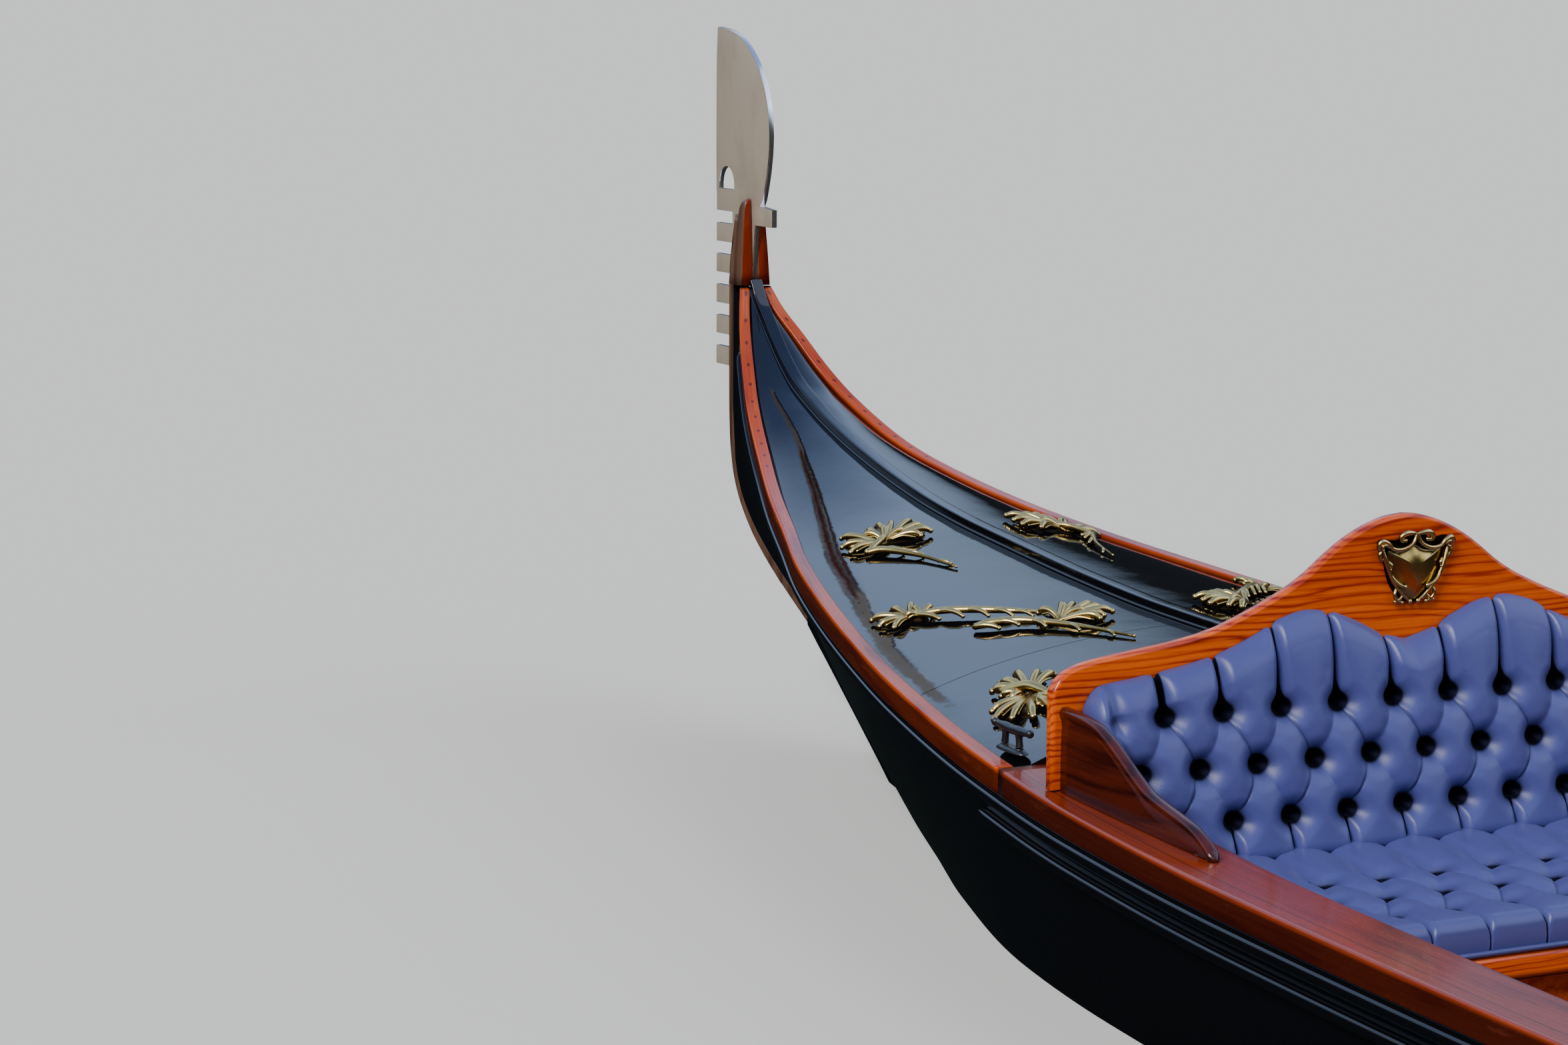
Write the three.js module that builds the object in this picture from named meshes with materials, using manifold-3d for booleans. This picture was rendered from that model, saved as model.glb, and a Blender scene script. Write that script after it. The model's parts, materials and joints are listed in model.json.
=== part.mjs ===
// A gondola boat: black flat-bottomed hull, varnished gunwales, two tufted sofas, steel prow iron.
// Millimetres. +X points to the bow, +Y to port, +Z up, and Z = 0 is the underside of the flat bottom.
import * as THREE from "three";
import { mergeVertices } from "three/addons/utils/BufferGeometryUtils.js";
import Module from "manifold-3d";

const wasm = await Module();
wasm.setup();

const root = new THREE.Group();
root.name = "gondola_boat";

// Overall sizes. HALF is how far the middle of the boat lies aft of the prow iron's front line.
const HALF = 5458;
const GAP = 0.4;
const BOTTOM_THICK = 25;
const SIDE_THICK = 18;
const SIDE_BULGE = 12;
const RAIL_HEIGHT = 44;
const RAIL_NARROW = 32;
const BOARD_WIDE = 128;
const DECK_THICK = 14;
const PLATE = 12;

// Hull lines. d is the distance aft of the prow iron's front edge, sheer is the outer top edge of
// the gunwale, chine is the outer lower edge of the side and foot is where the side planking starts.
const HULL = [
  { d: 143, sheerY: 26, sheerZ: 1213, chineY: 22, footZ: 906 },
  { d: 170, sheerY: 30, sheerZ: 1203, chineY: 22, footZ: 764 },
  { d: 200, sheerY: 35, sheerZ: 1186, chineY: 22, footZ: 708 },
  { d: 215, sheerY: 40, sheerZ: 1171, chineY: 22, footZ: 690 },
  { d: 243, sheerY: 54, sheerZ: 1130, chineY: 22, footZ: 664 },
  { d: 296, sheerY: 78, sheerZ: 1075, chineY: 22, footZ: 621 },
  { d: 377, sheerY: 109, sheerZ: 997, chineY: 22, footZ: 570 },
  { d: 450, sheerY: 135, sheerZ: 941, chineY: 22, footZ: 530 },
  { d: 630, sheerY: 193, sheerZ: 847, chineY: 36, footZ: 434 },
  { d: 810, sheerY: 255, sheerZ: 791, chineY: 60, footZ: 352 },
  { d: 990, sheerY: 313, sheerZ: 751, chineY: 90, footZ: 280 },
  { d: 1200, sheerY: 385, sheerZ: 714, chineY: 136, footZ: 211 },
  { d: 1400, sheerY: 444, sheerZ: 688, chineY: 184, footZ: 159 },
  { d: 1700, sheerY: 522, sheerZ: 655, chineY: 262, footZ: 101 },
  { d: 2000, sheerY: 590, sheerZ: 627, chineY: 362, footZ: 65 },
  { d: 2450, sheerY: 667, sheerZ: 594, chineY: 496, footZ: 38 },
  { d: 2800, sheerY: 702, sheerZ: 572, chineY: 548, footZ: 29 },
  { d: 3300, sheerY: 729, sheerZ: 557, chineY: 584, footZ: 26 },
  { d: 4200, sheerY: 748, sheerZ: 549, chineY: 600, footZ: 25.5 },
  { d: 5450, sheerY: 755, sheerZ: 547, chineY: 603, footZ: 25.5 },
  { d: 6600, sheerY: 745, sheerZ: 554, chineY: 596, footZ: 25.5 },
  { d: 7300, sheerY: 718, sheerZ: 572, chineY: 566, footZ: 27 },
  { d: 7900, sheerY: 676, sheerZ: 598, chineY: 510, footZ: 34 },
  { d: 8400, sheerY: 615, sheerZ: 634, chineY: 428, footZ: 58 },
  { d: 8900, sheerY: 528, sheerZ: 688, chineY: 318, footZ: 108 },
  { d: 9300, sheerY: 440, sheerZ: 750, chineY: 228, footZ: 177 },
  { d: 9700, sheerY: 330, sheerZ: 840, chineY: 140, footZ: 274 },
  { d: 10000, sheerY: 240, sheerZ: 928, chineY: 84, footZ: 372 },
  { d: 10300, sheerY: 150, sheerZ: 1045, chineY: 42, footZ: 508 },
  { d: 10500, sheerY: 90, sheerZ: 1145, chineY: 24, footZ: 626 },
  { d: 10600, sheerY: 60, sheerZ: 1205, chineY: 22, footZ: 706 },
  { d: 10680, sheerY: 39, sheerZ: 1262, chineY: 22, footZ: 800 },
  { d: 10730, sheerY: 27, sheerZ: 1306, chineY: 22, footZ: 990 },
];

// Front edge of the stem and aft edge of the sternpost, from the head down to the bottom.
const STEM = [
  { d: 148, z: 1330 },
  { d: 124, z: 1236 },
  { d: 118, z: 1172 },
  { d: 119, z: 905 },
  { d: 130, z: 786 },
  { d: 162, z: 704 },
  { d: 226, z: 632 },
  { d: 302, z: 577 },
  { d: 388, z: 527 },
  { d: 460, z: 490 },
  { d: 526, z: 457 },
];
const STERN = [
  { d: 10770, z: 1400 },
  { d: 10768, z: 1260 },
  { d: 10762, z: 1120 },
  { d: 10752, z: 1000 },
  { d: 10730, z: 880 },
  { d: 10692, z: 780 },
  { d: 10630, z: 690 },
  { d: 10550, z: 612 },
  { d: 10480, z: 563 },
  { d: 10426, z: 528 },
];
const POST_HALF = 21;
const POST_DEEP = 24;

// Deck crown at the middle, above the rails. A straight fair line fore and aft.
const CROWN = [
  { d: 200, rise: 2 },
  { d: 300, rise: 4 },
  { d: 411, rise: 12 },
  { d: 526, rise: 29 },
  { d: 647, rise: 41 },
  { d: 800, rise: 45 },
  { d: 1010, rise: 46 },
  { d: 1200, rise: 51 },
  { d: 1400, rise: 57 },
  { d: 1640, rise: 62 },
  { d: 1890, rise: 70 },
  { d: 2065, rise: 79 },
  { d: 2300, rise: 92 },
  { d: 2700, rise: 110 },
  { d: 6900, rise: 112 },
  { d: 7700, rise: 84 },
  { d: 8900, rise: 40 },
  { d: 9700, rise: 24 },
  { d: 10700, rise: 4 },
];

// Shared helpers

// Monotone cubic through a table's columns, so a fair curve has no wiggles between rows.
function curve(table, from, to) {
  const x = table.map((row) => row[from]);
  const y = table.map((row) => row[to]);
  const n = x.length;
  const h = [];
  const s = [];
  for (let i = 0; i < n - 1; i++) {
    h.push(x[i + 1] - x[i]);
    s.push((y[i + 1] - y[i]) / (x[i + 1] - x[i]));
  }
  const m = [s[0]];
  for (let i = 1; i < n - 1; i++) {
    const even = s[i - 1] * s[i] <= 0;
    const a = 2 * h[i] + h[i - 1];
    const b = h[i] + 2 * h[i - 1];
    m.push(even ? 0 : (a + b) / (a / s[i - 1] + b / s[i]));
  }
  m.push(s[n - 2]);
  return (v) => {
    let i = 0;
    while (i < n - 2 && v > x[i + 1]) i++;
    const t = (v - x[i]) / h[i];
    const u = t * t;
    const w = u * t;
    return (
      (2 * w - 3 * u + 1) * y[i] +
      (w - 2 * u + t) * h[i] * m[i] +
      (3 * u - 2 * w) * y[i + 1] +
      (w - u) * h[i] * m[i + 1]
    );
  };
}

const sheerY = curve(HULL, "d", "sheerY");
const sheerZ = curve(HULL, "d", "sheerZ");
const chineY = curve(HULL, "d", "chineY");
const freeFoot = curve(HULL, "d", "footZ");

// Line at a distance behind the edge of a post. inward is 1 at the stem and -1 at the sternpost.
function inset(line, inward, deep) {
  return line.map((p, i) => {
    const a = line[Math.max(0, i - 1)];
    const b = line[Math.min(line.length - 1, i + 1)];
    const long = Math.hypot(b.d - a.d, b.z - a.z);
    const nd = (-inward * (b.z - a.z)) / long;
    const nz = (inward * (b.d - a.d)) / long;
    return { d: p.d + nd * deep, z: p.z + nz * deep };
  });
}
const FIT = 0.6;
const stemInner = inset(STEM, 1, POST_DEEP + FIT);
const sternInner = inset(STERN, -1, POST_DEEP + FIT);
const STEM_FOOT = 540;
const STERN_FOOT = 10410;

// Height where the side planking starts: along the posts at the ends, else from the table.
function along(line, d) {
  const row = [...line].sort((a, b) => a.d - b.d);
  let i = 0;
  while (i < row.length - 2 && d > row[i + 1].d) i++;
  const t = (d - row[i].d) / (row[i + 1].d - row[i].d);
  return row[i].z + t * (row[i + 1].z - row[i].z);
}
function footZ(d) {
  if (d < STEM_FOOT) return along(stemInner.slice(3), d);
  if (d > STERN_FOOT) return along(sternInner.slice(2), d);
  return freeFoot(d);
}
const crown = curve(CROWN, "d", "rise");
const deckMidZ = (d) => sheerZ(d) + crown(d);

// Width of the gunwale: a square rail at each end and a broad varnished board by the seats. The
// board starts with a square end.
const BOARD_START = 2546;
const WIDTHS = [
  { d: 150, w: 22 },
  { d: 215, w: 25 },
  { d: 400, w: 30 },
  { d: BOARD_START - 6, w: RAIL_NARROW },
  { d: BOARD_START, w: BOARD_WIDE + 18 },
  { d: 2740, w: BOARD_WIDE + 18 },
  { d: 3300, w: BOARD_WIDE },
  { d: 7360, w: BOARD_WIDE },
  { d: 7560, w: 110 },
  { d: 7760, w: 66 },
  { d: 8000, w: RAIL_NARROW },
  { d: 10500, w: RAIL_NARROW },
  { d: 10660, w: 34 },
  { d: 10716, w: 24 },
];
const railWidth = curve(WIDTHS, "d", "w");
const deckHalf = (d) => sheerY(d) - Math.min(railWidth(d), sheerY(d) - 7) - 0.5;

// Height of the deck's top at d, y: a parabola from the rails up to the crown.
function deckZ(d, y) {
  const t = Math.min(1, Math.abs(y) / deckHalf(d));
  return sheerZ(d) - 5 + (crown(d) + 5) * (1 - t * t);
}

const steps = (from, to, count) =>
  Array.from({ length: count + 1 }, (_, i) => from + ((to - from) * i) / count);

// d values of the hull table between two limits, with the limits themselves.
const STATIONS = [
  ...HULL.map((row) => row.d),
  ...stemInner.slice(4, -1).map((row) => row.d),
  ...sternInner.slice(3, -1).map((row) => row.d),
  ...[222, 250, STEM_FOOT, 720, 2060, 2062, 2240, BOARD_START - 6, BOARD_START, 2674, 2740],
  ...[3000, 3700, 4800, 6000, 6890, 6924, 7460, 7560, 7660, 7760, 8150, 9500, 10150],
  ...[STERN_FOOT, 10640, 10664],
].sort((a, b) => a - b);
function stations(from, to) {
  const kept = STATIONS.filter((d) => d > from + 1 && d < to - 1);
  return [from, ...kept.filter((d, i) => i === 0 || d - kept[i - 1] > 1), to];
}

function meshOf(name, geometry, color) {
  const mesh = new THREE.Mesh(
    geometry,
    new THREE.MeshStandardMaterial({ color, roughness: 0.4 }),
  );
  mesh.name = name;
  root.add(mesh);
  return mesh;
}

function fromTriangles(points, faces) {
  const geometry = new THREE.BufferGeometry();
  geometry.setAttribute(
    "position",
    new THREE.Float32BufferAttribute(points.flat(), 3),
  );
  geometry.setIndex(faces.flat());
  let volume = 0;
  for (const [a, b, c] of faces) {
    const [p, q, r] = [points[a], points[b], points[c]];
    volume +=
      p[0] * (q[1] * r[2] - q[2] * r[1]) -
      p[1] * (q[0] * r[2] - q[2] * r[0]) +
      p[2] * (q[0] * r[1] - q[1] * r[0]);
  }
  if (volume < 0) geometry.setIndex(faces.map(([a, b, c]) => [a, c, b]).flat());
  geometry.computeVertexNormals();
  return geometry;
}

// Closed solid through rings of equal length. Each ring is a list of [x, y, z]; the plane of an
// end cap is given by the two axes that it is drawn in.
function loft(rings, axes = [1, 2]) {
  const n = rings[0].length;
  const points = rings.flat();
  const faces = [];
  for (let i = 0; i < rings.length - 1; i++)
    for (let j = 0; j < n; j++) {
      const a = i * n + j;
      const b = i * n + ((j + 1) % n);
      faces.push([a, b, b + n], [a, b + n, a + n]);
    }
  for (const [first, flip] of [
    [0, true],
    [(rings.length - 1) * n, false],
  ]) {
    const flat = rings[first / n].map((p) => new THREE.Vector2(p[axes[0]], p[axes[1]]));
    const turned = THREE.ShapeUtils.area(flat) < 0;
    const order = flat.map((_, i) => (turned ? n - 1 - i : i));
    const caps = THREE.ShapeUtils.triangulateShape(
      order.map((i) => flat[i]),
      [],
    );
    for (const cap of caps) {
      const [a, b, c] = cap.map((i) => first + order[i]);
      faces.push(turned !== flip ? [a, c, b] : [a, b, c]);
    }
  }
  return fromTriangles(points, faces);
}

// Plate cut from an outline: outline [u, v] in two axes, thick along the third, centred on it.
function plate(outline, plane, thick, centre, holes = []) {
  const shape = new THREE.Shape(outline.map(([u, v]) => new THREE.Vector2(u, v)));
  for (const hole of holes)
    shape.holes.push(new THREE.Path(hole.map(([u, v]) => new THREE.Vector2(u, v))));
  const made = new THREE.ExtrudeGeometry(shape, { depth: thick, bevelEnabled: false });
  made.translate(0, 0, (plane === "xz" ? -centre : centre) - thick / 2);
  const basis = {
    xz: new THREE.Matrix4().set(1, 0, 0, 0, 0, 0, -1, 0, 0, 1, 0, 0, 0, 0, 0, 1),
    yz: new THREE.Matrix4().set(0, 0, 1, 0, 1, 0, 0, 0, 0, 1, 0, 0, 0, 0, 0, 1),
    xy: new THREE.Matrix4(),
  }[plane];
  return made.applyMatrix4(basis);
}

function box(x0, x1, y0, y1, z0, z1) {
  const made = new THREE.BoxGeometry(x1 - x0, y1 - y0, z1 - z0);
  return made.translate((x0 + x1) / 2, (y0 + y1) / 2, (z0 + z1) / 2);
}

function cylinder(radius, from, to, sides = 20) {
  const a = new THREE.Vector3(...from);
  const b = new THREE.Vector3(...to);
  const made = new THREE.CylinderGeometry(radius, radius, a.distanceTo(b), sides);
  const turn = new THREE.Quaternion().setFromUnitVectors(
    new THREE.Vector3(0, 1, 0),
    b.clone().sub(a).normalize(),
  );
  made.applyQuaternion(turn);
  return made.translate(...a.add(b).multiplyScalar(0.5).toArray());
}

function solid(geometry) {
  const bare = geometry.clone();
  bare.deleteAttribute("normal");
  bare.deleteAttribute("uv");
  const merged = mergeVertices(bare, 1e-4);
  const index = merged.index.array;
  return new wasm.Manifold(
    new wasm.Mesh({
      numProp: 3,
      vertProperties: new Float32Array(merged.attributes.position.array),
      triVerts: new Uint32Array(index),
    }),
  );
}

function fromSolid(body) {
  const { vertProperties, triVerts } = body.getMesh();
  const geometry = new THREE.BufferGeometry();
  geometry.setAttribute("position", new THREE.BufferAttribute(vertProperties, 3));
  geometry.setIndex(new THREE.BufferAttribute(triVerts, 1));
  geometry.computeVertexNormals();
  return geometry;
}

const join = (...parts) => fromSolid(parts.map(solid).reduce((a, b) => a.add(b)));
const cut = (body, ...tools) =>
  fromSolid(tools.map(solid).reduce((a, b) => a.subtract(b), solid(body)));

const COLOR = {
  black: "#0b0c10",
  varnish: "#a8400f",
  leather: "#5560a8",
  steel: "#b9b4aa",
  brass: "#a58a4a",
  floor: "#7d4a24",
};
const sides = [
  { name: "port", s: 1 },
  { name: "starboard", s: -1 },
];

// Bottom planking: a flat plate with rocker at both ends.
const bottomZ = (d) => footZ(d) - BOTTOM_THICK - 0.5;
const bottomRings = stations(STEM_FOOT, STERN_FOOT).map((d) => {
  const x = HALF - d;
  const y = chineY(d);
  const z = bottomZ(d);
  return [
    [x, -y, z],
    [x, y, z],
    [x, y, z + BOTTOM_THICK],
    [x, -y, z + BOTTOM_THICK],
  ];
});
meshOf("bottom_planking", loft(bottomRings), COLOR.black);

// Side planking, chine to sheer. t runs up the side; the outer face bulges a little.
const SIDE_TOP = RAIL_HEIGHT + GAP;
function sidePoint(d, t) {
  const low = footZ(d);
  const high = sheerZ(d) - SIDE_TOP;
  const z = low + (high - low) * t;
  const ends = Math.max(0, Math.min(1, (d - 140) / 900, (10730 - d) / 900));
  const y = chineY(d) + (sheerY(d) - 5 - chineY(d)) * t + SIDE_BULGE * ends * Math.sin(Math.PI * t);
  return [y, z];
}
for (const { name, s } of sides) {
  const rings = stations(144, 10726).map((d) => {
    const x = HALF - d;
    const outer = steps(0, 1, 6).map((t) => sidePoint(d, t));
    const inner = outer.map(([y, z]) => [Math.max(y - SIDE_THICK, 1), z]).reverse();
    return [...outer, ...inner].map(([y, z]) => [x, s * y, z]);
  });
  meshOf(`side_planking_${name}`, loft(rings), COLOR.black);
}

// Stem and sternpost: a timber of even depth behind the edge line.
function post(line, inward) {
  const inner = inset(line, inward, POST_DEEP);
  const rings = line.map((p, i) => [
    [HALF - p.d, -POST_HALF, p.z],
    [HALF - p.d, POST_HALF, p.z],
    [HALF - inner[i].d, POST_HALF, inner[i].z],
    [HALF - inner[i].d, -POST_HALF, inner[i].z],
  ]);
  return loft(rings, [1, 0]);
}
meshOf("stem_post", post(STEM, 1), COLOR.black);
meshOf("stern_post", post(STERN, -1), COLOR.black);

// Prow iron: a blade with a D-shaped hole, six teeth forward and one aft, all one plate.
const TOOTH_PITCH = 70.2;
const TOOTH_TOP = 1374;
const TOOTH_HIGH = 42;
const TOOTH_FRONT = 20;
const SPINE_FRONT = 104;
const SPINE_BACK = 117.6;
const blade = [
  [18, 1380],
  [16, 1560],
  [18, 1700],
  [22, 1746],
  [60, 1743],
  [93, 1738],
  [130, 1728],
  [163, 1717],
  [201, 1690],
  [232, 1661],
  [257, 1630],
  [274, 1600],
  [287, 1570],
  [293, 1515],
  [292, 1480],
  [285, 1440],
  [275, 1405],
  [262, 1370],
  [250, 1352],
  [310, 1347],
  [310, 1308],
  [222, 1308],
  [214, 1250],
  [206, 1180],
  [143.2, 1180],
  [149.2, 1231],
  [172.6, 1323.6],
  [173.2, 1326.2],
  [147.6, 1332.6],
  [122.6, 1236.5],
  [SPINE_BACK, 1172],
];
const teeth = [];
for (let i = 0; i < 6; i++) {
  const top = TOOTH_TOP - i * TOOTH_PITCH;
  teeth.push([SPINE_FRONT, top - TOOTH_HIGH], [TOOTH_FRONT, top - TOOTH_HIGH], [TOOTH_FRONT, top]);
  if (i > 0) teeth.splice(-3, 3, [SPINE_FRONT, top], [TOOTH_FRONT, top], [TOOTH_FRONT, top - TOOTH_HIGH], [SPINE_FRONT, top - TOOTH_HIGH]);
  else teeth.splice(-3, 3, [TOOTH_FRONT, top], [TOOTH_FRONT, top - TOOTH_HIGH], [SPINE_FRONT, top - TOOTH_HIGH]);
}
const ironOutline = [
  ...blade,
  [SPINE_BACK, 950],
  [SPINE_FRONT, 950],
  ...teeth.reverse(),
].map(([d, z]) => [HALF - d, z]);
const holeLine = [
  [32, 1382],
  [112, 1382],
  [112, 1396],
  [106, 1414],
  [92, 1428],
  [72, 1433],
  [52, 1428],
  [38, 1414],
  [32, 1396],
].map(([d, z]) => [HALF - d, z]);
meshOf("prow_iron", plate(ironOutline, "xz", PLATE, 0, [holeLine]), COLOR.steel);

// Steel band down the stem below the iron, and a plain curved plate at the stern.
function band(line, outward, halfWide, thick, clear) {
  const near = inset(line, -outward, clear);
  const far = inset(line, -outward, clear + thick);
  const rings = line.map((_, i) => [
    [HALF - near[i].d, -halfWide, near[i].z],
    [HALF - near[i].d, halfWide, near[i].z],
    [HALF - far[i].d, halfWide, far[i].z],
    [HALF - far[i].d, -halfWide, far[i].z],
  ]);
  return loft(rings, [1, 0]);
}
const stemBandLine = [{ d: 118, z: 944 }, ...STEM.slice(3, 9)];
meshOf("stem_band", band(stemBandLine, 1, 17, 5, GAP), COLOR.steel);
const sternBandLine = STERN.slice(3, 9);
meshOf("stern_band", band(sternBandLine, -1, 17, 5, GAP), COLOR.steel);

const sternIron = [
  [10771.5, 1010],
  [10784, 1010],
  [10788, 1120],
  [10798, 1240],
  [10826, 1330],
  [10868, 1390],
  [10900, 1450],
  [10896, 1520],
  [10860, 1560],
  [10812, 1556],
  [10784, 1524],
  [10786, 1490],
  [10812, 1508],
  [10842, 1510],
  [10858, 1490],
  [10850, 1454],
  [10810, 1430],
  [10790, 1412],
  [10740, 1412],
  [10740, 1402],
  [10771.5, 1402],
].map(([d, z]) => [HALF - d, z]);
meshOf("stern_iron", plate(sternIron, "xz", PLATE, 0), COLOR.steel);

// Caps that carry the rails' line up beside the iron: wedges that taper to the head of the stem.
for (const { name, s } of sides) {
  const cap = [
    { z: 1173.5, fore: 146, aft: 217, outer: 36 },
    { z: 1236, fore: 151, aft: 214, outer: 33 },
    { z: 1300, fore: 168, aft: 210, outer: 29 },
    { z: 1345, fore: 177, aft: 207, outer: 25 },
    { z: 1366, fore: 187, aft: 204, outer: 19 },
  ].map(({ z, fore, aft, outer }) => [
    [HALF - fore, s * (PLATE / 2 + 0.6), z],
    [HALF - fore, s * outer, z],
    [HALF - aft, s * outer, z],
    [HALF - aft, s * (PLATE / 2 + 0.6), z],
  ]);
  meshOf(`stem_cap_${name}`, loft(cap, [0, 1]), COLOR.varnish);
}

// Gunwales: a square rail at each end, and between them a broad varnished board by the seats.
const RAILS = [
  { name: "fore_rail", from: 214, to: BOARD_START, widest: RAIL_NARROW },
  { name: "side_deck", from: BOARD_START + GAP, to: 7760, widest: BOARD_WIDE + 18 },
  { name: "aft_rail", from: 7760 + GAP, to: 10664, widest: BOARD_WIDE },
];
for (const rail of RAILS)
  for (const { name, s } of sides) {
    const rings = stations(rail.from, rail.to).map((d) => {
      const x = HALF - d;
      const y = sheerY(d);
      const z = sheerZ(d);
      const w = Math.min(railWidth(d), y - 7, rail.widest);
      const k = Math.min(1, Math.max(0, (w - 44) / 40));
      const inner = z - RAIL_HEIGHT + 1 + 13 * k;
      const ledge = Math.min(w - 6, 40);
      return [
        [x, s * y, z - RAIL_HEIGHT],
        [x, s * y, z - 4],
        [x, s * (y - 4), z],
        [x, s * (y - w + 3), z],
        [x, s * (y - w), z - 3],
        [x, s * (y - w), inner],
        [x, s * (y - ledge), inner - 0.5],
        [x, s * (y - ledge + 2), z - RAIL_HEIGHT],
      ];
    });
    meshOf(`${rail.name}_${name}`, loft(rings), COLOR.varnish);
  }

// Rub rails along the side, with rounded ends. drop is measured down from the sheer line.
const RUBS = [
  { name: "upper_rub_rail", from: 280, to: 10400, drop: 62, high: 24, out: 14 },
  { name: "lower_rub_rail", from: 2440, to: 8000, drop: 104, high: 26, out: 18 },
];
for (const rub of RUBS)
  for (const { name, s } of sides) {
    const rings = stations(rub.from, rub.to).map((d, i, all) => {
      const x = HALF - d;
      const mid = sheerZ(d) - rub.drop;
      const out = i === 0 || i === all.length - 1 ? 4 : rub.out;
      const face = (z) => {
        const low = footZ(d);
        const high = sheerZ(d) - SIDE_TOP;
        return sidePoint(d, Math.min(1, (z - low) / (high - low)))[0] + 1.2;
      };
      const [a, b] = [mid - rub.high / 2, mid + rub.high / 2];
      return [
        [x, s * face(a), a],
        [x, s * (face(a) + out * 0.8), a + 4],
        [x, s * (face(mid) + out), mid],
        [x, s * (face(b) + out * 0.8), b - 4],
        [x, s * face(b), b],
      ];
    });
    meshOf(`${rub.name}_${name}`, loft(rings), COLOR.black);
  }

// Decks: cambered panels between the rails.
const DECKS = [
  { name: "fore_deck", from: 222, to: 2060 },
  { name: "fore_deck_panel", from: 2062, to: 2674 },
  { name: "aft_deck", from: 6924, to: 10640 },
];
const DECK_POINTS = 10;
for (const deck of DECKS) {
  const rings = stations(deck.from, deck.to).map((d) => {
    const x = HALF - d;
    const half = deckHalf(d);
    const ys = steps(-half, half, DECK_POINTS);
    const top = ys.map((y) => [x, y, deckZ(d, y)]);
    const under = ys.map((y) => [x, y, deckZ(d, y) - DECK_THICK]).reverse();
    return [...top, ...under];
  });
  meshOf(deck.name, loft(rings), COLOR.black);
}

// Ridge moulding along the middle of each deck.
const RIDGES = [
  { name: "fore_deck_ridge", from: 219, to: 2674, half: 14, high: 18 },
  { name: "aft_deck_ridge", from: 6924, to: 10640, half: 14, high: 18 },
];
for (const ridge of RIDGES) {
  const rings = stations(ridge.from, ridge.to).map((d) => {
    const x = HALF - d;
    const w = Math.max(8, Math.min(ridge.half, sheerY(d) - 26));
    const base = deckMidZ(d) + 0.6;
    const profile = [
      [1, 0],
      [1, 0.42],
      [0.62, 0.5],
      [0.5, 0.95],
      [0.3, 1],
      [-0.3, 1],
      [-0.5, 0.95],
      [-0.62, 0.5],
      [-1, 0.42],
      [-1, 0],
    ];
    return profile.map(([u, v]) => [x, u * w, base + v * ridge.high]);
  });
  meshOf(ridge.name, loft(rings), COLOR.black);
}

// Floorboards of the cockpit, on bearers across the bottom.
const FLOOR = { from: 2740, to: 6870, z: 66, thick: 16 };
const floorRings = stations(FLOOR.from, FLOOR.to).map((d) => {
  const x = HALF - d;
  const y = sidePoint(d, 0.08)[0] - SIDE_THICK - 14;
  return [
    [x, -y, FLOOR.z],
    [x, y, FLOOR.z],
    [x, y, FLOOR.z + FLOOR.thick],
    [x, -y, FLOOR.z + FLOOR.thick],
  ];
});
meshOf("floor_boards", loft(floorRings), COLOR.floor);
const bearerSpots = steps(2860, 6800, 7);
const keelson = box(HALF - 6850, HALF - 2780, -45, 45, 30, 65.5);
const bearers = bearerSpots.map((d) => {
  const y = chineY(d) - SIDE_THICK - 26;
  return box(HALF - d - 22, HALF - d + 22, -y, y, 30, 65.5);
});
meshOf("floor_bearers", join(keelson, ...bearers), COLOR.floor);

// Inner lining of the cockpit: a varnished ceiling plank with ribs on each side.
const LINING = { from: 2740, to: 6890, thick: 10, lift: 88 };
for (const { name, s } of sides) {
  const rings = stations(LINING.from, LINING.to).map((d) => {
    const x = HALF - d;
    const low = footZ(d);
    const high = sheerZ(d) - SIDE_TOP;
    const lift = (z) => sidePoint(d, (z - low) / (high - low))[0] - SIDE_THICK - 2;
    const zs = steps(LINING.lift, high - 2, 3);
    const outer = zs.map((z) => [x, s * lift(z), z]);
    const inner = zs.map((z) => [x, s * (lift(z) - LINING.thick), z]).reverse();
    return [...outer, ...inner];
  });
  meshOf(`cockpit_lining_${name}`, loft(rings), COLOR.varnish);
}

// Seats. Each has a shaped back board, a tufted back and seat, a box below and armrests.
const BACK_PROFILE = [
  { y: 0, z: 986 },
  { y: 30, z: 983 },
  { y: 60, z: 975 },
  { y: 90, z: 963 },
  { y: 120, z: 947 },
  { y: 150, z: 927 },
  { y: 190, z: 897 },
  { y: 225, z: 876 },
  { y: 265, z: 857 },
  { y: 310, z: 838 },
  { y: 370, z: 817 },
  { y: 440, z: 803 },
  { y: 520, z: 793 },
  { y: 590, z: 784 },
  { y: 628, z: 775 },
  { y: 655, z: 759 },
  { y: 668, z: 738 },
];
const CUSHION_PROFILE = [
  { y: 0, z: 780 },
  { y: 50, z: 794 },
  { y: 100, z: 818 },
  { y: 150, z: 836 },
  { y: 195, z: 842 },
  { y: 245, z: 832 },
  { y: 300, z: 806 },
  { y: 360, z: 784 },
  { y: 430, z: 768 },
  { y: 520, z: 755 },
  { y: 590, z: 746 },
  { y: 618, z: 730 },
];
const both = (rows) => [
  ...[...rows].reverse().map(({ y, z }) => [-y, z]),
  ...rows.filter(({ y }) => y > 0).map(({ y, z }) => [y, z]),
];
const SEATS = [
  { name: "front_seat", face: 2700, s: 1, back: 0 },
  { name: "rear_seat", face: 5560, s: -1, back: 0 },
];
const SEAT_TOP = 452;
const SEAT_LOW = 392;
const SEAT_DEEP = 470;
const BOARD_THICK = 24;
const TILT = Math.tan(THREE.MathUtils.degToRad(12));
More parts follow.
